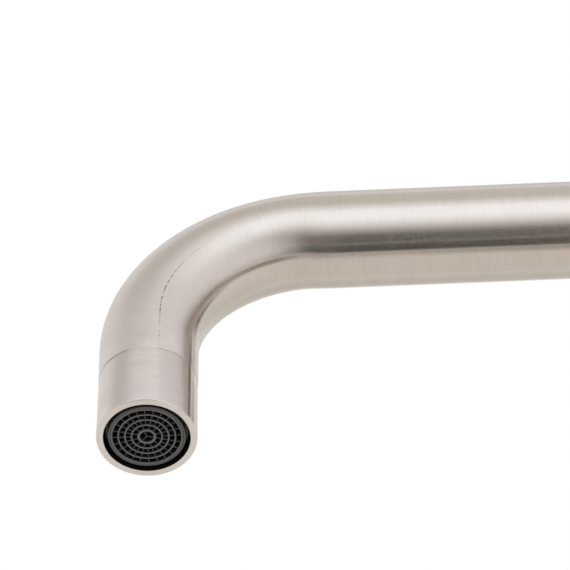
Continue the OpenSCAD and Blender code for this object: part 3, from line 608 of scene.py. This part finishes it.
def moulded(name, colour, roughness=0.45, grain=0.3 * mm, grainHeight=0.004 * mm, mottle=0.9,
            edgeTone=1.25, face=None, gloss=0.5):
    # plastics, rubber and ceramic: a fine grain, a slightly uneven colour and paler edges, partly wear and
    # partly a painted highlight
    # face gives a height, a depth and a share: past that depth the plastic keeps only that share of its tone,
    # a painted shade in the holes
    material, tree, shader = newMaterial(name)
    place = addNode(tree, "ShaderNodeTexCoord").outputs["Object"]
    fine = noise(tree, place, 1 / grain, 3.0)
    cloud = noise(tree, place, mouldFinish["cloudScale"], 2.0)
    edge, softNormal = edgeMask(tree, mouldFinish["edgeRadius"])
    mottled, plain = tone(colour, mottle), tone(colour, mouldFinish["cloudTone"])
    body = blendColours(tree, ramp(tree, cloud, 0.35, 0.65), mottled, plain)
    # paler edges: partly wear, partly a painted highlight
    worn = tone(colour, edgeTone)
    body = blendColours(tree, calc(tree, "MULTIPLY", edge, mouldFinish["edgeShare"]), body, worn)
    if face:
        height = addNode(tree, "ShaderNodeSeparateXYZ")
        plug(tree, place, height.inputs[0])
        # painted shade in the holes, below the grid's face
        holeShade = ramp(tree, height.outputs[2], face["z"], face["z"] + face["depth"], smooth=True)
        body = blendColours(tree, holeShade, body, tone(colour, face["share"]))
    plug(tree, body, shader.inputs["Base Color"])
    spread = mouldFinish["roughnessSpread"]
    plug(tree, ramp(tree, fine, 0.3, 0.7, roughness - spread, roughness + spread), shader.inputs["Roughness"])
    shader.inputs["Specular IOR Level"].default_value = gloss
    addBump(tree, shader, fine, grainHeight, softNormal, mouldFinish["bumpStrength"])
    return material


def paint(name, material):
    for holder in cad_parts[name].material_slots:
        holder.material = material


def finishNodes(make, finishes):
    for name, (nodes, look) in finishes.items():
        material = make(name, **look)
        for node in nodes:
            paint(node, material)


def dress(piece, body, material, node):
    piece.data.materials.append(material)
    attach(piece, body)
    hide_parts(node)


# where the frame puts things
tubeLow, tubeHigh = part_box("spout_tube")
nozzleLow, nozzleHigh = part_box("outlet_nozzle")
housingLow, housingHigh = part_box("aerator_housing")
shankLow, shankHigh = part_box("mounting_shank")
nutLow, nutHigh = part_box("mounting_nut")
hubLow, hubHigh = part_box("handle_hub")
rodLow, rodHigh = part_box("lever_rod")

tubeRadius = tubeHigh.x
outletY = tubeLow.y + tubeRadius
topZ = tubeHigh.z - tubeRadius
valveZ = (hubLow.z + hubHigh.z) / 2
rodX = (rodLow.x + rodHigh.x) / 2
outlet = (0.0, outletY, nozzleLow.z)
upright = (0.0, 0.0, 1.0)
acrossX = (1.0, 0.0, 0.0)
origin = (0.0, 0.0, 0.0)
valveAxis = (0.0, 0.0, valveZ)
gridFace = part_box("aerator_outlet_grid")[0].z
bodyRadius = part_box("faucet_body")[1].y

spout = {
    "bendRadius": 48.0 * mm,
    "flattening": 0.045,    # how much the bending narrows the tube in the bend's own plane
    "flatStart": (8.0 * mm, 62.0 * mm),    # past the start of a bend, where this begins and is full
    "flatEnd": (-8.0 * mm, 4.0 * mm),      # past its end, where it begins to go and is gone
    "wall": 1.2 * mm,
    "nozzleSpigot": 6.0 * mm,
    "edge": 0.12 * mm,
    "around": 168,
    "bendSteps": 64,
    "straightStep": 4.0 * mm,
    "innerStep": 3,         # only every third ring on the inside
}
jointZ = nozzleHigh.z - spout["nozzleSpigot"]


def spoutStations():
    # arc length, centre and direction from the nozzle's joint up, over the top and down to the foot
    bend, steps = spout["bendRadius"], spout["bendSteps"]
    bendZ = topZ - bend
    stations = []

    def straight(start, direction, length):
        count = max(1, round(length / spout["straightStep"]))
        for k in range(count):
            stations.append((start + direction * (length * k / count), direction))

    def curve(centre, first, second):
        for k in range(steps):
            t = math.pi / 2 * k / steps
            place = centre + (first * math.cos(t) + second * math.sin(t)) * bend
            stations.append((place, (second * math.cos(t) - first * math.sin(t)).normalized()))

    up, forward = Vector((0, 0, 1)), Vector((0, 1, 0))
    straight(Vector((0, outletY, jointZ)), up, bendZ - jointZ)
    curve(Vector((0, outletY + bend, bendZ)), -forward, up)
    straight(Vector((0, outletY + bend, topZ)), forward, -outletY - 2 * bend)
    curve(Vector((0, -bend, bendZ)), up, forward)
    straight(Vector((0, 0, bendZ)), -up, bendZ - tubeLow.z)
    stations.append((Vector((0, 0, tubeLow.z)), -up))
    lengths = [0.0]
    for (a, _), (b, _) in zip(stations, stations[1:]):
        lengths.append(lengths[-1] + (b - a).length)
    return lengths, stations


def bendShare(length):
    # 1 in the middle of a bend, 0 on the straight stretches
    share = 0.0
    bendLength = spout["bendRadius"] * math.pi / 2
    firstStart = topZ - spout["bendRadius"] - jointZ
    secondStart = firstStart + bendLength - outletY - 2 * spout["bendRadius"]
    for start in (firstStart, secondStart):
        end = start + bendLength
        rising = smoothStep(start + spout["flatStart"][0], start + spout["flatStart"][1], length)
        falling = smoothStep(end + spout["flatEnd"][0], end + spout["flatEnd"][1], length)
        share += rising * (1 - falling)
    return share


def seamDrift(length):
    return -weldSeam["drift"] * math.tanh((length - weldSeam["driftAt"]) / weldSeam["driftOver"])


def spoutTube():
    lengths, stations = spoutStations()
    around = spout["around"]
    seamHalf = math.degrees(weldSeam["halfWidth"] / tubeRadius)
    seamAngles = [weldSeam["angle"] + side * seamHalf for side in (-1, 0, 1)]
    angles = sorted([360 * j / around for j in range(around)] + seamAngles)
    turns = [a / 360 for a in angles] + [1.0]

    def ring(station, length, radius, groove=0.0, chamfer=0.0):
        centre, direction = station
        sideways = Vector((1, 0, 0))
        inward = direction.cross(sideways) * (1 - spout["flattening"] * bendShare(length))
        row = []
        for a in angles:
            turned = math.radians(a + seamDrift(length))
            r = radius - chamfer * (1 - joint["tubeFill"] * weldFill(a))
            if abs(a - weldSeam["angle"]) < seamHalf / 2:
                r -= groove
            row.append(centre + (sideways * math.cos(turned) + inward * math.sin(turned)) * r)
        return row

    rows = [ring(stations[0], 0.0, tubeRadius, chamfer=spout["edge"])]
    places = [0.0]
    for i, station in enumerate(stations):
        centre, direction = station
        if i == 0:
            centre = centre + direction * spout["edge"]
        if i == len(stations) - 1:
            centre = centre - direction * spout["edge"]
        fade = 1 - smoothStep(weldSeam["fadeFrom"], weldSeam["fadeTo"], lengths[i])
        rows.append(ring((centre, direction), lengths[i], tubeRadius, groove=weldSeam["depth"] * fade))
        places.append(lengths[i] + spout["edge"])
    total = lengths[-1]
    rows.append(ring(stations[-1], total, tubeRadius - spout["edge"]))
    places.append(total + 2 * spout["edge"])
    inner = tubeRadius - spout["wall"]
    for i in reversed(range(0, len(stations), spout["innerStep"])):
        rows.append(ring(stations[i], lengths[i], inner))
        places.append(2 * total - lengths[i] + spout["wall"])
    places.append(places[-1] + spout["wall"])
    store = newStore()
    addSkin(store, rows, places, turns, closeRows=True)
    piece = makePiece("spoutTube", store, sharp=20)
    dress(piece, "spout", tubeSteel("tubeSteel", tubeRadius, seam=True), "spout_tube")
    print("spout tube,", len(rows), "rings")


nozzle = {
    "step": 0.1 * mm,       # it stands back from the tube by this much at the joint
    "flare": 0.1 * mm,
    "rimRound": 0.3 * mm,
    "rimHeight": 0.5 * mm,
    "boreRound": 0.15 * mm,
    "ring": 0.18 * mm,      # chamfer of the joint ring
    "ringRound": 0.03 * mm,
    "bore": 12.15 * mm,
    "ledgeBore": 10.3 * mm,
    "ledgeRound": 0.1 * mm,
    "spigotGap": 0.05 * mm,
    "around": 240,
    "colour": (0.622, 0.558, 0.526),
    "rougher": 0.03,
    "coarse": 2.2,          # brushed by hand, coarser than the tube
    "contrast": 2.2,
    "bands": ((329, 24, 0.8), (34, 28, 0.65)),    # angle, half width and share of the darker bands, painted dark reflections
    "darkReflectionTone": 0.80,
    "rimLitColour": (0.668, 0.630, 0.598),    # painted paler than the nozzle: painted light on the rim
    "rimRougher": 0.05,
    "boreColour": (0.008, 0.007, 0.006),    # sealing paste and painted shadow inside
    "boreFrom": 0.4,        # share of the bore's rounding at which the paste and painted shadow begin
    "dabAngle": 12.5,       # where the weld line bridges the joint ring
    "dabHalf": 5.5,
    "dabFrom": 0.5,
}


def outletNozzle():
    height = jointZ - nozzleLow.z
    spigot = tubeRadius - spout["wall"] - nozzle["spigotGap"]
    spigotTop = height + spout["nozzleSpigot"]
    ledge = housingHigh.z - nozzleLow.z
    ringRadius = tubeRadius - nozzle["step"]
    corners = [
        (nozzle["bore"], 0.0, nozzle["boreRound"]),
        (tubeRadius + nozzle["flare"], 0.0, nozzle["rimRound"]),
        (ringRadius, height - nozzle["ring"], nozzle["ringRound"]),
        (ringRadius - nozzle["ring"], height, nozzle["ringRound"]),
        (spigot, height, 0.0),
        (spigot, spigotTop, 0.3 * mm),
        (nozzle["ledgeBore"], spigotTop, 0.2 * mm),
        (nozzle["ledgeBore"], ledge, nozzle["ledgeRound"]),
        (nozzle["bore"], ledge, nozzle["ledgeRound"]),
    ]

    def weldDab(r, h, angle):
        # moves only the ring's chamfer, which is filled where the welds meet it
        if h < height - 0.3 * mm or r < spigot + 0.2 * mm or h > height + 0.1 * mm:
            return 0.0
        degrees = math.degrees(angle)
        dab = 1 - smoothStep(nozzle["dabFrom"], 1.0, abs(degrees - nozzle["dabAngle"]) / nozzle["dabHalf"])
        return (ringRadius - r) * max(dab, joint["nozzleFill"] * weldFill(degrees))

    piece = turnedPiece("outletNozzle", corners, outlet, nozzle["around"], weldDab)
    boreStart = nozzle["bore"] + nozzle["boreRound"] * nozzle["boreFrom"]
    for face in piece.data.polygons:
        away = math.hypot(face.center.x - outlet[0], face.center.y - outlet[1])
        if away < boreStart and face.center.z < nozzleLow.z + ledge + 2 * nozzle["ledgeRound"]:
            face.material_index = 1
        elif face.normal.z < -0.5 and face.center.z < nozzleLow.z + nozzle["rimHeight"]:
            face.material_index = 2
    steel = tubeSteel("nozzleSteel", tubeRadius, base=nozzle["colour"], rougher=nozzle["rougher"],
                      coarse=nozzle["coarse"], contrast=nozzle["contrast"], bands=nozzle["bands"])
    dress(piece, "spout", steel, "outlet_nozzle")
    # the bore: sealing paste and painted shadow
    pasteAndShadow = moulded("darkBore", nozzle["boreColour"], 0.55, grainHeight=0.006 * mm, gloss=0.1)
    # the rim's paler colour is painted light
    rim = tubeSteel("paleLitRim", tubeRadius, base=nozzle["rimLitColour"], rougher=nozzle["rimRougher"])
    piece.data.materials.append(pasteAndShadow)
    piece.data.materials.append(rim)
    print("outlet nozzle")


aerator = {
    "threadPitch": 1.0 * mm,
    "threadDepth": 0.55 * mm,
    "threadGap": 0.02 * mm,    # its crest stays this far inside the node's box
    "collar": 10.85 * mm,
    "collarEdge": 0.12 * mm,
    "lipBore": 10.21 * mm,
    "lipEdge": 0.08 * mm,
    "wellBore": 9.6 * mm,
    "collarHeight": 2.5 * mm,
    "threadHeight": 7.5 * mm,
    "lipHeight": 3.0 * mm,
    "neck": 10.1 * mm,
    "around": 144,
    "shell": (0.062, 0.060, 0.056),
    "gridColour": (0.094, 0.090, 0.082),
    # painted shade in the grid's holes, below its face
    "gridFace": {"z": gridFace + 0.03 * mm, "depth": 0.15 * mm, "share": 0.18},
}


def aeratorHousing():
    foot = housingLow.z - nozzleLow.z
    top = housingHigh.z - nozzleLow.z
    threadFoot = foot + aerator["collarHeight"]
    threadTop = threadFoot + aerator["threadHeight"]
    lipTop = foot + aerator["lipHeight"]
    crest = housingHigh.x - aerator["threadGap"]
    root = crest - aerator["threadDepth"]
    around, neck, collar = aerator["around"], aerator["neck"], aerator["collar"]
    well, lip = aerator["wellBore"], aerator["lipBore"]
    lipEdge, collarEdge = aerator["lipEdge"], aerator["collarEdge"]
    store = newStore()
    thread = {"bottom": threadFoot, "top": threadTop, "pitch": aerator["threadPitch"],
              "root": root, "crest": crest}
    addThread(store, thread, outlet, around)
    addBands(store, [(root, threadTop), (neck, threadTop), (neck, top), (well, top), (well, lipTop),
                     (lip, lipTop), (lip, foot + lipEdge), (lip + lipEdge, foot), (collar - collarEdge, foot),
                     (collar, foot + collarEdge), (collar, threadFoot), (root, threadFoot)], outlet, around)
    piece = makePiece("aeratorHousing", store)
    shell = moulded("aeratorShell", aerator["shell"], 0.42, grain=0.25 * mm)
    dress(piece, "spout", shell, "aerator_housing")
    print("aerator housing")


shank = {
    "pitch": 1.5 * mm,
    "depth": 0.8 * mm,
    "threadGap": 0.02 * mm,
    "threadTop": -0.5 * mm,
    "shoulder": 0.4 * mm,
    "bore": 13.0 * mm,
    "boreEdge": 0.5 * mm,
    "endRound": 0.8 * mm,
    "endStep": 0.7 * mm,
    "around": 112,
}


def mountingShank():
    radius = shankHigh.x
    crest, root = radius - shank["threadGap"], radius - shank["depth"]
    foot, top, bore = shankLow.z + shank["endRound"], shank["threadTop"], shank["bore"]
    thread = {"bottom": foot, "top": top, "pitch": shank["pitch"], "root": root, "crest": crest}
    store = newStore()
    addThread(store, thread, origin, shank["around"])
    addBands(store, [(root, top), (radius, top + shank["shoulder"]), (radius, shankHigh.z),
                     (bore, shankHigh.z), (bore, shankLow.z + shank["boreEdge"]),
                     (bore + shank["boreEdge"], shankLow.z), (root - shank["endStep"], shankLow.z),
                     (root, foot)], origin, shank["around"])
    piece = makePiece("mountingShank", store)
    dress(piece, "body", brass, "mounting_shank")
    print("mounting shank")


nut = {
    "flats": 47.0 * mm,
    "chamferRadius": 23.2 * mm,
    "chamferSlope": 0.55,
    "chamferLeast": 0.02 * mm,
    "boreGap": 0.03 * mm,
    "around": 240,
    "sharp": 25,
}


def mountingNut():
    # a hexagon whose corners are turned off at both ends
    height = nutHigh.z - nutLow.z
    bore = shankHigh.x + nut["boreGap"]
    around = nut["around"]
    rows = [[] for _ in range(6)]
    for j in range(around):
        angle = 2 * math.pi * j / around
        sector = (math.degrees(angle) + 30) % 60 - 30
        flat = nut["flats"] / 2 / math.cos(math.radians(30 - abs(sector)))
        drop = max(nut["chamferLeast"], (flat - nut["chamferRadius"]) * nut["chamferSlope"])
        face = min(nut["chamferRadius"], flat - nut["chamferLeast"])
        outline = [(bore, 0), (face, 0), (flat, drop), (flat, height - drop), (face, height), (bore, height)]
        for row, (r, h) in zip(rows, outline):
            row.append(pointRound((0.0, 0.0, nutLow.z), r, h, angle))
    lengths = [0, 10 * mm, 11 * mm, 20 * mm, 21 * mm, 31 * mm, 41 * mm]
    store = newStore()
    addSkin(store, rows, lengths, [j / around for j in range(around + 1)], closeRows=True)
    piece = makePiece("mountingNut", store, sharp=nut["sharp"])
    dress(piece, "body", brass, "mounting_nut")
    print("mounting nut")


brassColour = (0.62, 0.44, 0.19)
brass = cutMetal("turnedBrass", brassColour, upright, origin, 0.30, 0.18 * mm)
spoutTube()
outletNozzle()
aeratorHousing()
mountingShank()
mountingNut()

# finishes of the nodes that keep their own shape: the nodes, then what makes the look
mouldedNodes = {
    "gridPlastic": (["aerator_outlet_grid"], {"colour": aerator["gridColour"], "face": aerator["gridFace"]}),
    "sealRubber": (["aerator_regulator_oring", "aerator_seal", "spout_orings", "base_gasket",
                    "deck_rubber_washer", "cartridge_port_seals"],
                   {"colour": (0.018, 0.018, 0.018), "roughness": 0.62, "grain": 0.2 * mm,
                    "grainHeight": 0.010 * mm, "mottle": 0.8, "edgeTone": 1.8}),
    "whiteAcetal": (["aerator_jet_plate", "aerator_inlet_filter", "lower_thrust_washer",
                     "upper_thrust_washer", "cartridge_base", "cartridge_housing"],
                    {"colour": (0.78, 0.76, 0.71), "grain": 0.4 * mm, "mottle": 0.96, "edgeTone": 1.05}),
    "lappedCeramic": (["fixed_ceramic_disc", "moving_ceramic_disc"],
                      {"colour": (0.86, 0.86, 0.83), "roughness": 0.18, "grain": 0.15 * mm,
                       "grainHeight": 0.001 * mm, "mottle": 0.97, "edgeTone": 1.04}),
    "blackPlastic": (["disc_carrier", "stem_guide"],
                     {"colour": (0.045, 0.045, 0.048), "grainHeight": 0.006 * mm}),
    "regulatorGreen": (["aerator_flow_regulator"], {"colour": (0.073, 0.233, 0.133), "roughness": 0.42}),
    "greyPlug": (["index_plug"], {"colour": (0.17, 0.17, 0.17), "roughness": 0.3, "grainHeight": 0.003 * mm}),
}
cutNodes = {
    # the mixing screen is painted near black: painted shade in the aerator's holes
    "screenSteel": (["aerator_mixing_screen"],
                    {"colour": (0.03, 0.03, 0.028), "axis": upright, "origin": outlet, "roughness": 0.5,
                     "lineWidth": 0.2 * mm}),
    "zincSteel": (["deck_steel_washer", "nut_jack_screws", "pivot_pin"],
                  {"colour": (0.46, 0.47, 0.48), "axis": upright, "origin": origin, "roughness": 0.34,
                   "lineWidth": 0.3 * mm, "spots": 900.0}),
    "blackScrew": (["handle_grub_screw"],
                   {"colour": (0.055, 0.055, 0.058), "axis": upright, "origin": (rodX, 0.0, 0.0),
                    "roughness": 0.4, "lineWidth": 0.2 * mm}),
    "valveBrass": (["lever_stem", "cartridge_nut"],
                   {"colour": brassColour, "axis": acrossX, "origin": valveAxis, "roughness": 0.30,
                    "lineWidth": 0.18 * mm}),
}
turnedNodes = {
    "bodySteel": (["swivel_collar", "base_flange"],
                  {"axis": upright, "origin": origin, "radius": bodyRadius}),
    "bodyBranchSteel": (["faucet_body"],
                        {"axis": upright, "origin": origin, "radius": bodyRadius,
                         "branch": {"axis": acrossX, "origin": valveAxis, "from": bodyRadius + 0.1 * mm}}),
    "hubSteel": (["bonnet", "handle_hub"], {"axis": acrossX, "origin": valveAxis, "radius": hubHigh.y}),
    "rodSteel": (["lever_rod"], {"axis": upright, "origin": (rodX, 0.0, 0.0), "radius": 4 * mm}),
}
paint("spout_spigot", brass)
finishNodes(moulded, mouldedNodes)
finishNodes(cutMetal, cutNodes)
finishNodes(turnedSteel, turnedNodes)
print("finishes set")

# the studio: cards and soft boxes that only the metal sees
# turn is in degrees round the Y axis, from straight up over the camera's side and under to the back
# reach is the direction's part along Y, from -1 past the outlet to 1 past the column
# the soft numbers are how far each end fades to either side
studio = {
    "background": (1.0, 1.0, 1.0),
    "cards": [
        {"what": "shade over the front", "turn": (9, 46), "softTurn": (7, 8), "reach": (-0.75, 0.04),
         "softReach": (0.3, 0.2), "level": 0.78, "tint": (1.0, 1.0, 0.97)},
        {"what": "side soft box", "turn": (25, 150), "softTurn": (15, 15), "reach": (0.52, 0.97),
         "softReach": (0.15, 0.06), "level": 1.12, "tint": (1.0, 0.985, 1.03)},
        {"what": "front soft box", "turn": (60.5, 103), "softTurn": (15, 16), "reach": (-0.82, 0.62),
         "softReach": (0.12, 0.35), "level": 1.57, "tint": (1.0, 1.05, 1.13)},
        {"what": "low card", "turn": (184, 242), "softTurn": (11, 6), "reach": (-1.3, 0.7),
         "softReach": (0.3, 0.3), "level": 0.92, "tint": (1.0, 0.965, 0.92)},
        {"what": "dark card", "turn": (122.5, 173.0), "softTurn": (16, 0.8), "reach": (-0.6, 0.22),
         "softReach": (0.15, 0.19), "level": 0.022, "tint": (1.0, 0.82, 0.25)},
        {"what": "its darkest part", "turn": (154.6, 170.5), "softTurn": (0.8, 3.0), "reach": (-0.6, 0.22),
         "softReach": (0.15, 0.19), "level": 0.030, "tint": (1.0, 0.90, 0.65)},
        {"what": "edge of the low card", "turn": (173.0, 176.2), "softTurn": (0.7, 0.7),
         "reach": (-1.3, 0.22), "softReach": (0.3, 0.19), "level": 0.66, "tint": (1.0, 0.97, 0.93)},
        {"what": "its shadow gap", "turn": (176.2, 183.0), "softTurn": (0.7, 12), "reach": (-1.3, 0.22),
         "softReach": (0.3, 0.19), "level": 0.52, "tint": (1.0, 0.97, 0.92)},
        {"what": "joint in the dark card", "turn": (152.4, 153.3), "softTurn": (0.4, 0.4),
         "reach": (-1.3, 0.22), "softReach": (0.3, 0.19), "level": 0.55, "tint": (1.0, 0.98, 0.80)},
        {"what": "dark doorway behind", "turn": (255, 305), "softTurn": (30, 10), "reach": (-0.6, 0.52),
         "softReach": (0.2, 0.22), "level": 0.78, "tint": (1.0, 0.97, 0.93)},
        {"what": "far side of the doorway", "turn": (235, 330), "softTurn": (15, 12), "reach": (0.50, 0.85),
         "softReach": (0.15, 0.12), "level": 0.87, "tint": (1.0, 0.97, 0.93)},
        {"what": "pale card behind", "turn": (312, 352), "softTurn": (8, 8), "reach": (-0.15, 0.15),
         "softReach": (0.12, 0.12), "level": 0.74, "tint": (1.0, 1.0, 1.0)},
    ],
    # narrow dark strips that draw the line along the inside of the bend
    # lean is measured along across; up is the height at which the strip begins and ends
    "strips": [
        {"what": "dark upright behind", "across": (0.87, -0.49, 0.0), "lean": (-0.572, -0.50),
         "softLean": (0.015, 0.02), "up": (0.60, 1.20), "softUp": (0.10, 0.10), "reach": (0.30, 0.85),
         "softReach": (0.06, 0.06)},
        {"what": "its slanting foot", "across": (0.94, -0.336, 0.0635), "lean": (-0.575, -0.48),
         "softLean": (0.015, 0.02), "up": (0.40, 0.69), "softUp": (0.08, 0.05), "reach": (0.45, 0.95),
         "softReach": (0.06, 0.06)},
        {"what": "far edge of the table", "across": (1.0, 0.0, 0.26), "lean": (-0.24, -0.175),
         "softLean": (0.03, 0.03), "up": (0.05, 0.50), "softUp": (0.12, 0.15), "reach": (0.50, 1.20),
         "softReach": (0.06, 0.10)},
    ],
    "stripTone": (0.045, 0.036, 0.026),
}


def studioWorld():
    world = bpy.data.worlds.new("studio")
    bpy.context.scene.world = world
    world.use_nodes = True
    tree = world.node_tree
    tree.nodes.clear()
    direction = addNode(tree, "ShaderNodeTexCoord").outputs["Generated"]
    split = addNode(tree, "ShaderNodeSeparateXYZ")
    plug(tree, direction, split.inputs[0])
    forward, across, up = split.outputs
    half = calc(tree, "ARCTAN2", calc(tree, "MULTIPLY", forward, -1.0), calc(tree, "MULTIPLY", up, -1.0))
    turn = calc(tree, "MULTIPLY_ADD", half, 180 / math.pi, 180.0)

    def softWindow(value, span, soft):
        rising = ramp(tree, value, span[0] - soft[0], span[0] + soft[0], smooth=True)
        falling = ramp(tree, value, span[1] - soft[1], span[1] + soft[1], 1.0, 0.0, smooth=True)
        return calc(tree, "MULTIPLY", rising, falling)

    light = studio["background"] + (1.0,)
    for card in studio["cards"]:
        weight = calc(tree, "MULTIPLY", softWindow(turn, card["turn"], card["softTurn"]),
                      softWindow(across, card["reach"], card["softReach"]))
        light = blendColours(tree, weight, light, tuple(card["level"] * t for t in card["tint"]) + (1.0,))
    for strip in studio["strips"]:
        lean = vectorCalc(tree, "DOT_PRODUCT", direction, strip["across"])
        weight = calc(tree, "MULTIPLY", softWindow(lean, strip["lean"], strip["softLean"]),
                      softWindow(up, strip["up"], strip["softUp"]))
        weight = calc(tree, "MULTIPLY", weight, softWindow(across, strip["reach"], strip["softReach"]))
        light = blendColours(tree, weight, light, tone(studio["stripTone"]))
    rays = addNode(tree, "ShaderNodeLightPath")
    seen = addNode(tree, "ShaderNodeBackground")
    plug(tree, light, seen.inputs["Color"])
    plain = addNode(tree, "ShaderNodeBackground")
    plain.inputs["Color"].default_value = studio["background"] + (1.0,)
    mix = addNode(tree, "ShaderNodeMixShader")
    plug(tree, rays.outputs["Is Glossy Ray"], mix.inputs[0])
    plug(tree, plain.outputs[0], mix.inputs[1])
    plug(tree, seen.outputs[0], mix.inputs[2])
    out = addNode(tree, "ShaderNodeOutputWorld")
    plug(tree, mix.outputs[0], out.inputs[0])
    world.cycles.sampling_method = "NONE"


keyLamp = {"place": (0.5, -0.7, 1.5), "width": 0.9, "power": 5.0}


def softLamp():
    data = bpy.data.lights.new("keyLamp", "AREA")
    data.energy = keyLamp["power"]
    data.size = keyLamp["width"]
    lamp = bpy.data.objects.new("keyLamp", data)
    lamp.location = keyLamp["place"]
    lamp.rotation_euler = (-Vector(keyLamp["place"])).to_track_quat("-Z", "Y").to_euler()
    lamp.visible_glossy = False
    lamp.visible_camera = False
    bpy.context.scene.collection.objects.link(lamp)


floorSheet = {
    "halfWidth": 3.0,
    "below": 0.2 * mm,
    "colour": (0.86, 0.86, 0.86),
    "shadeFrom": 0.30,
    "shadeTo": 0.75,
}


def paleFloor():
    half, z = floorSheet["halfWidth"], cadLow.z - floorSheet["below"]
    corners = [(-half, -half, z), (half, -half, z), (half, half, z), (-half, half, z)]
    mesh = bpy.data.meshes.new("floor")
    mesh.from_pydata(corners, [], [(0, 1, 2, 3)])
    floor = bpy.data.objects.new("floor", mesh)
    bpy.context.scene.collection.objects.link(floor)
    material = bpy.data.materials.new("floorPaper")
    material.use_nodes = True
    tree = material.node_tree
    tree.nodes.clear()
    matte = addNode(tree, "ShaderNodeBsdfDiffuse")
    matte.inputs[0].default_value = tone(floorSheet["colour"])
    white = addNode(tree, "ShaderNodeEmission")
    clear = addNode(tree, "ShaderNodeBsdfTransparent")
    place = addNode(tree, "ShaderNodeTexCoord").outputs["Object"]
    away = vectorCalc(tree, "LENGTH", vectorCalc(tree, "MULTIPLY", place, (1.0, 1.0, 0.0)))
    far = ramp(tree, away, floorSheet["shadeFrom"], floorSheet["shadeTo"], smooth=True)
    paper = addNode(tree, "ShaderNodeMixShader")
    plug(tree, far, paper.inputs[0])
    plug(tree, matte.outputs[0], paper.inputs[1])
    plug(tree, white.outputs[0], paper.inputs[2])
    # seen from below, the floor isn't there
    sided = addNode(tree, "ShaderNodeMixShader")
    plug(tree, addNode(tree, "ShaderNodeNewGeometry").outputs["Backfacing"], sided.inputs[0])
    plug(tree, paper.outputs[0], sided.inputs[1])
    plug(tree, clear.outputs[0], sided.inputs[2])
    out = addNode(tree, "ShaderNodeOutputMaterial")
    plug(tree, sided.outputs[0], out.inputs[0])
    mesh.materials.append(material)
    floor.visible_glossy = False
    floor.visible_diffuse = False
    floor.visible_shadow = False


studioWorld()
softLamp()
paleFloor()
print("studio set")
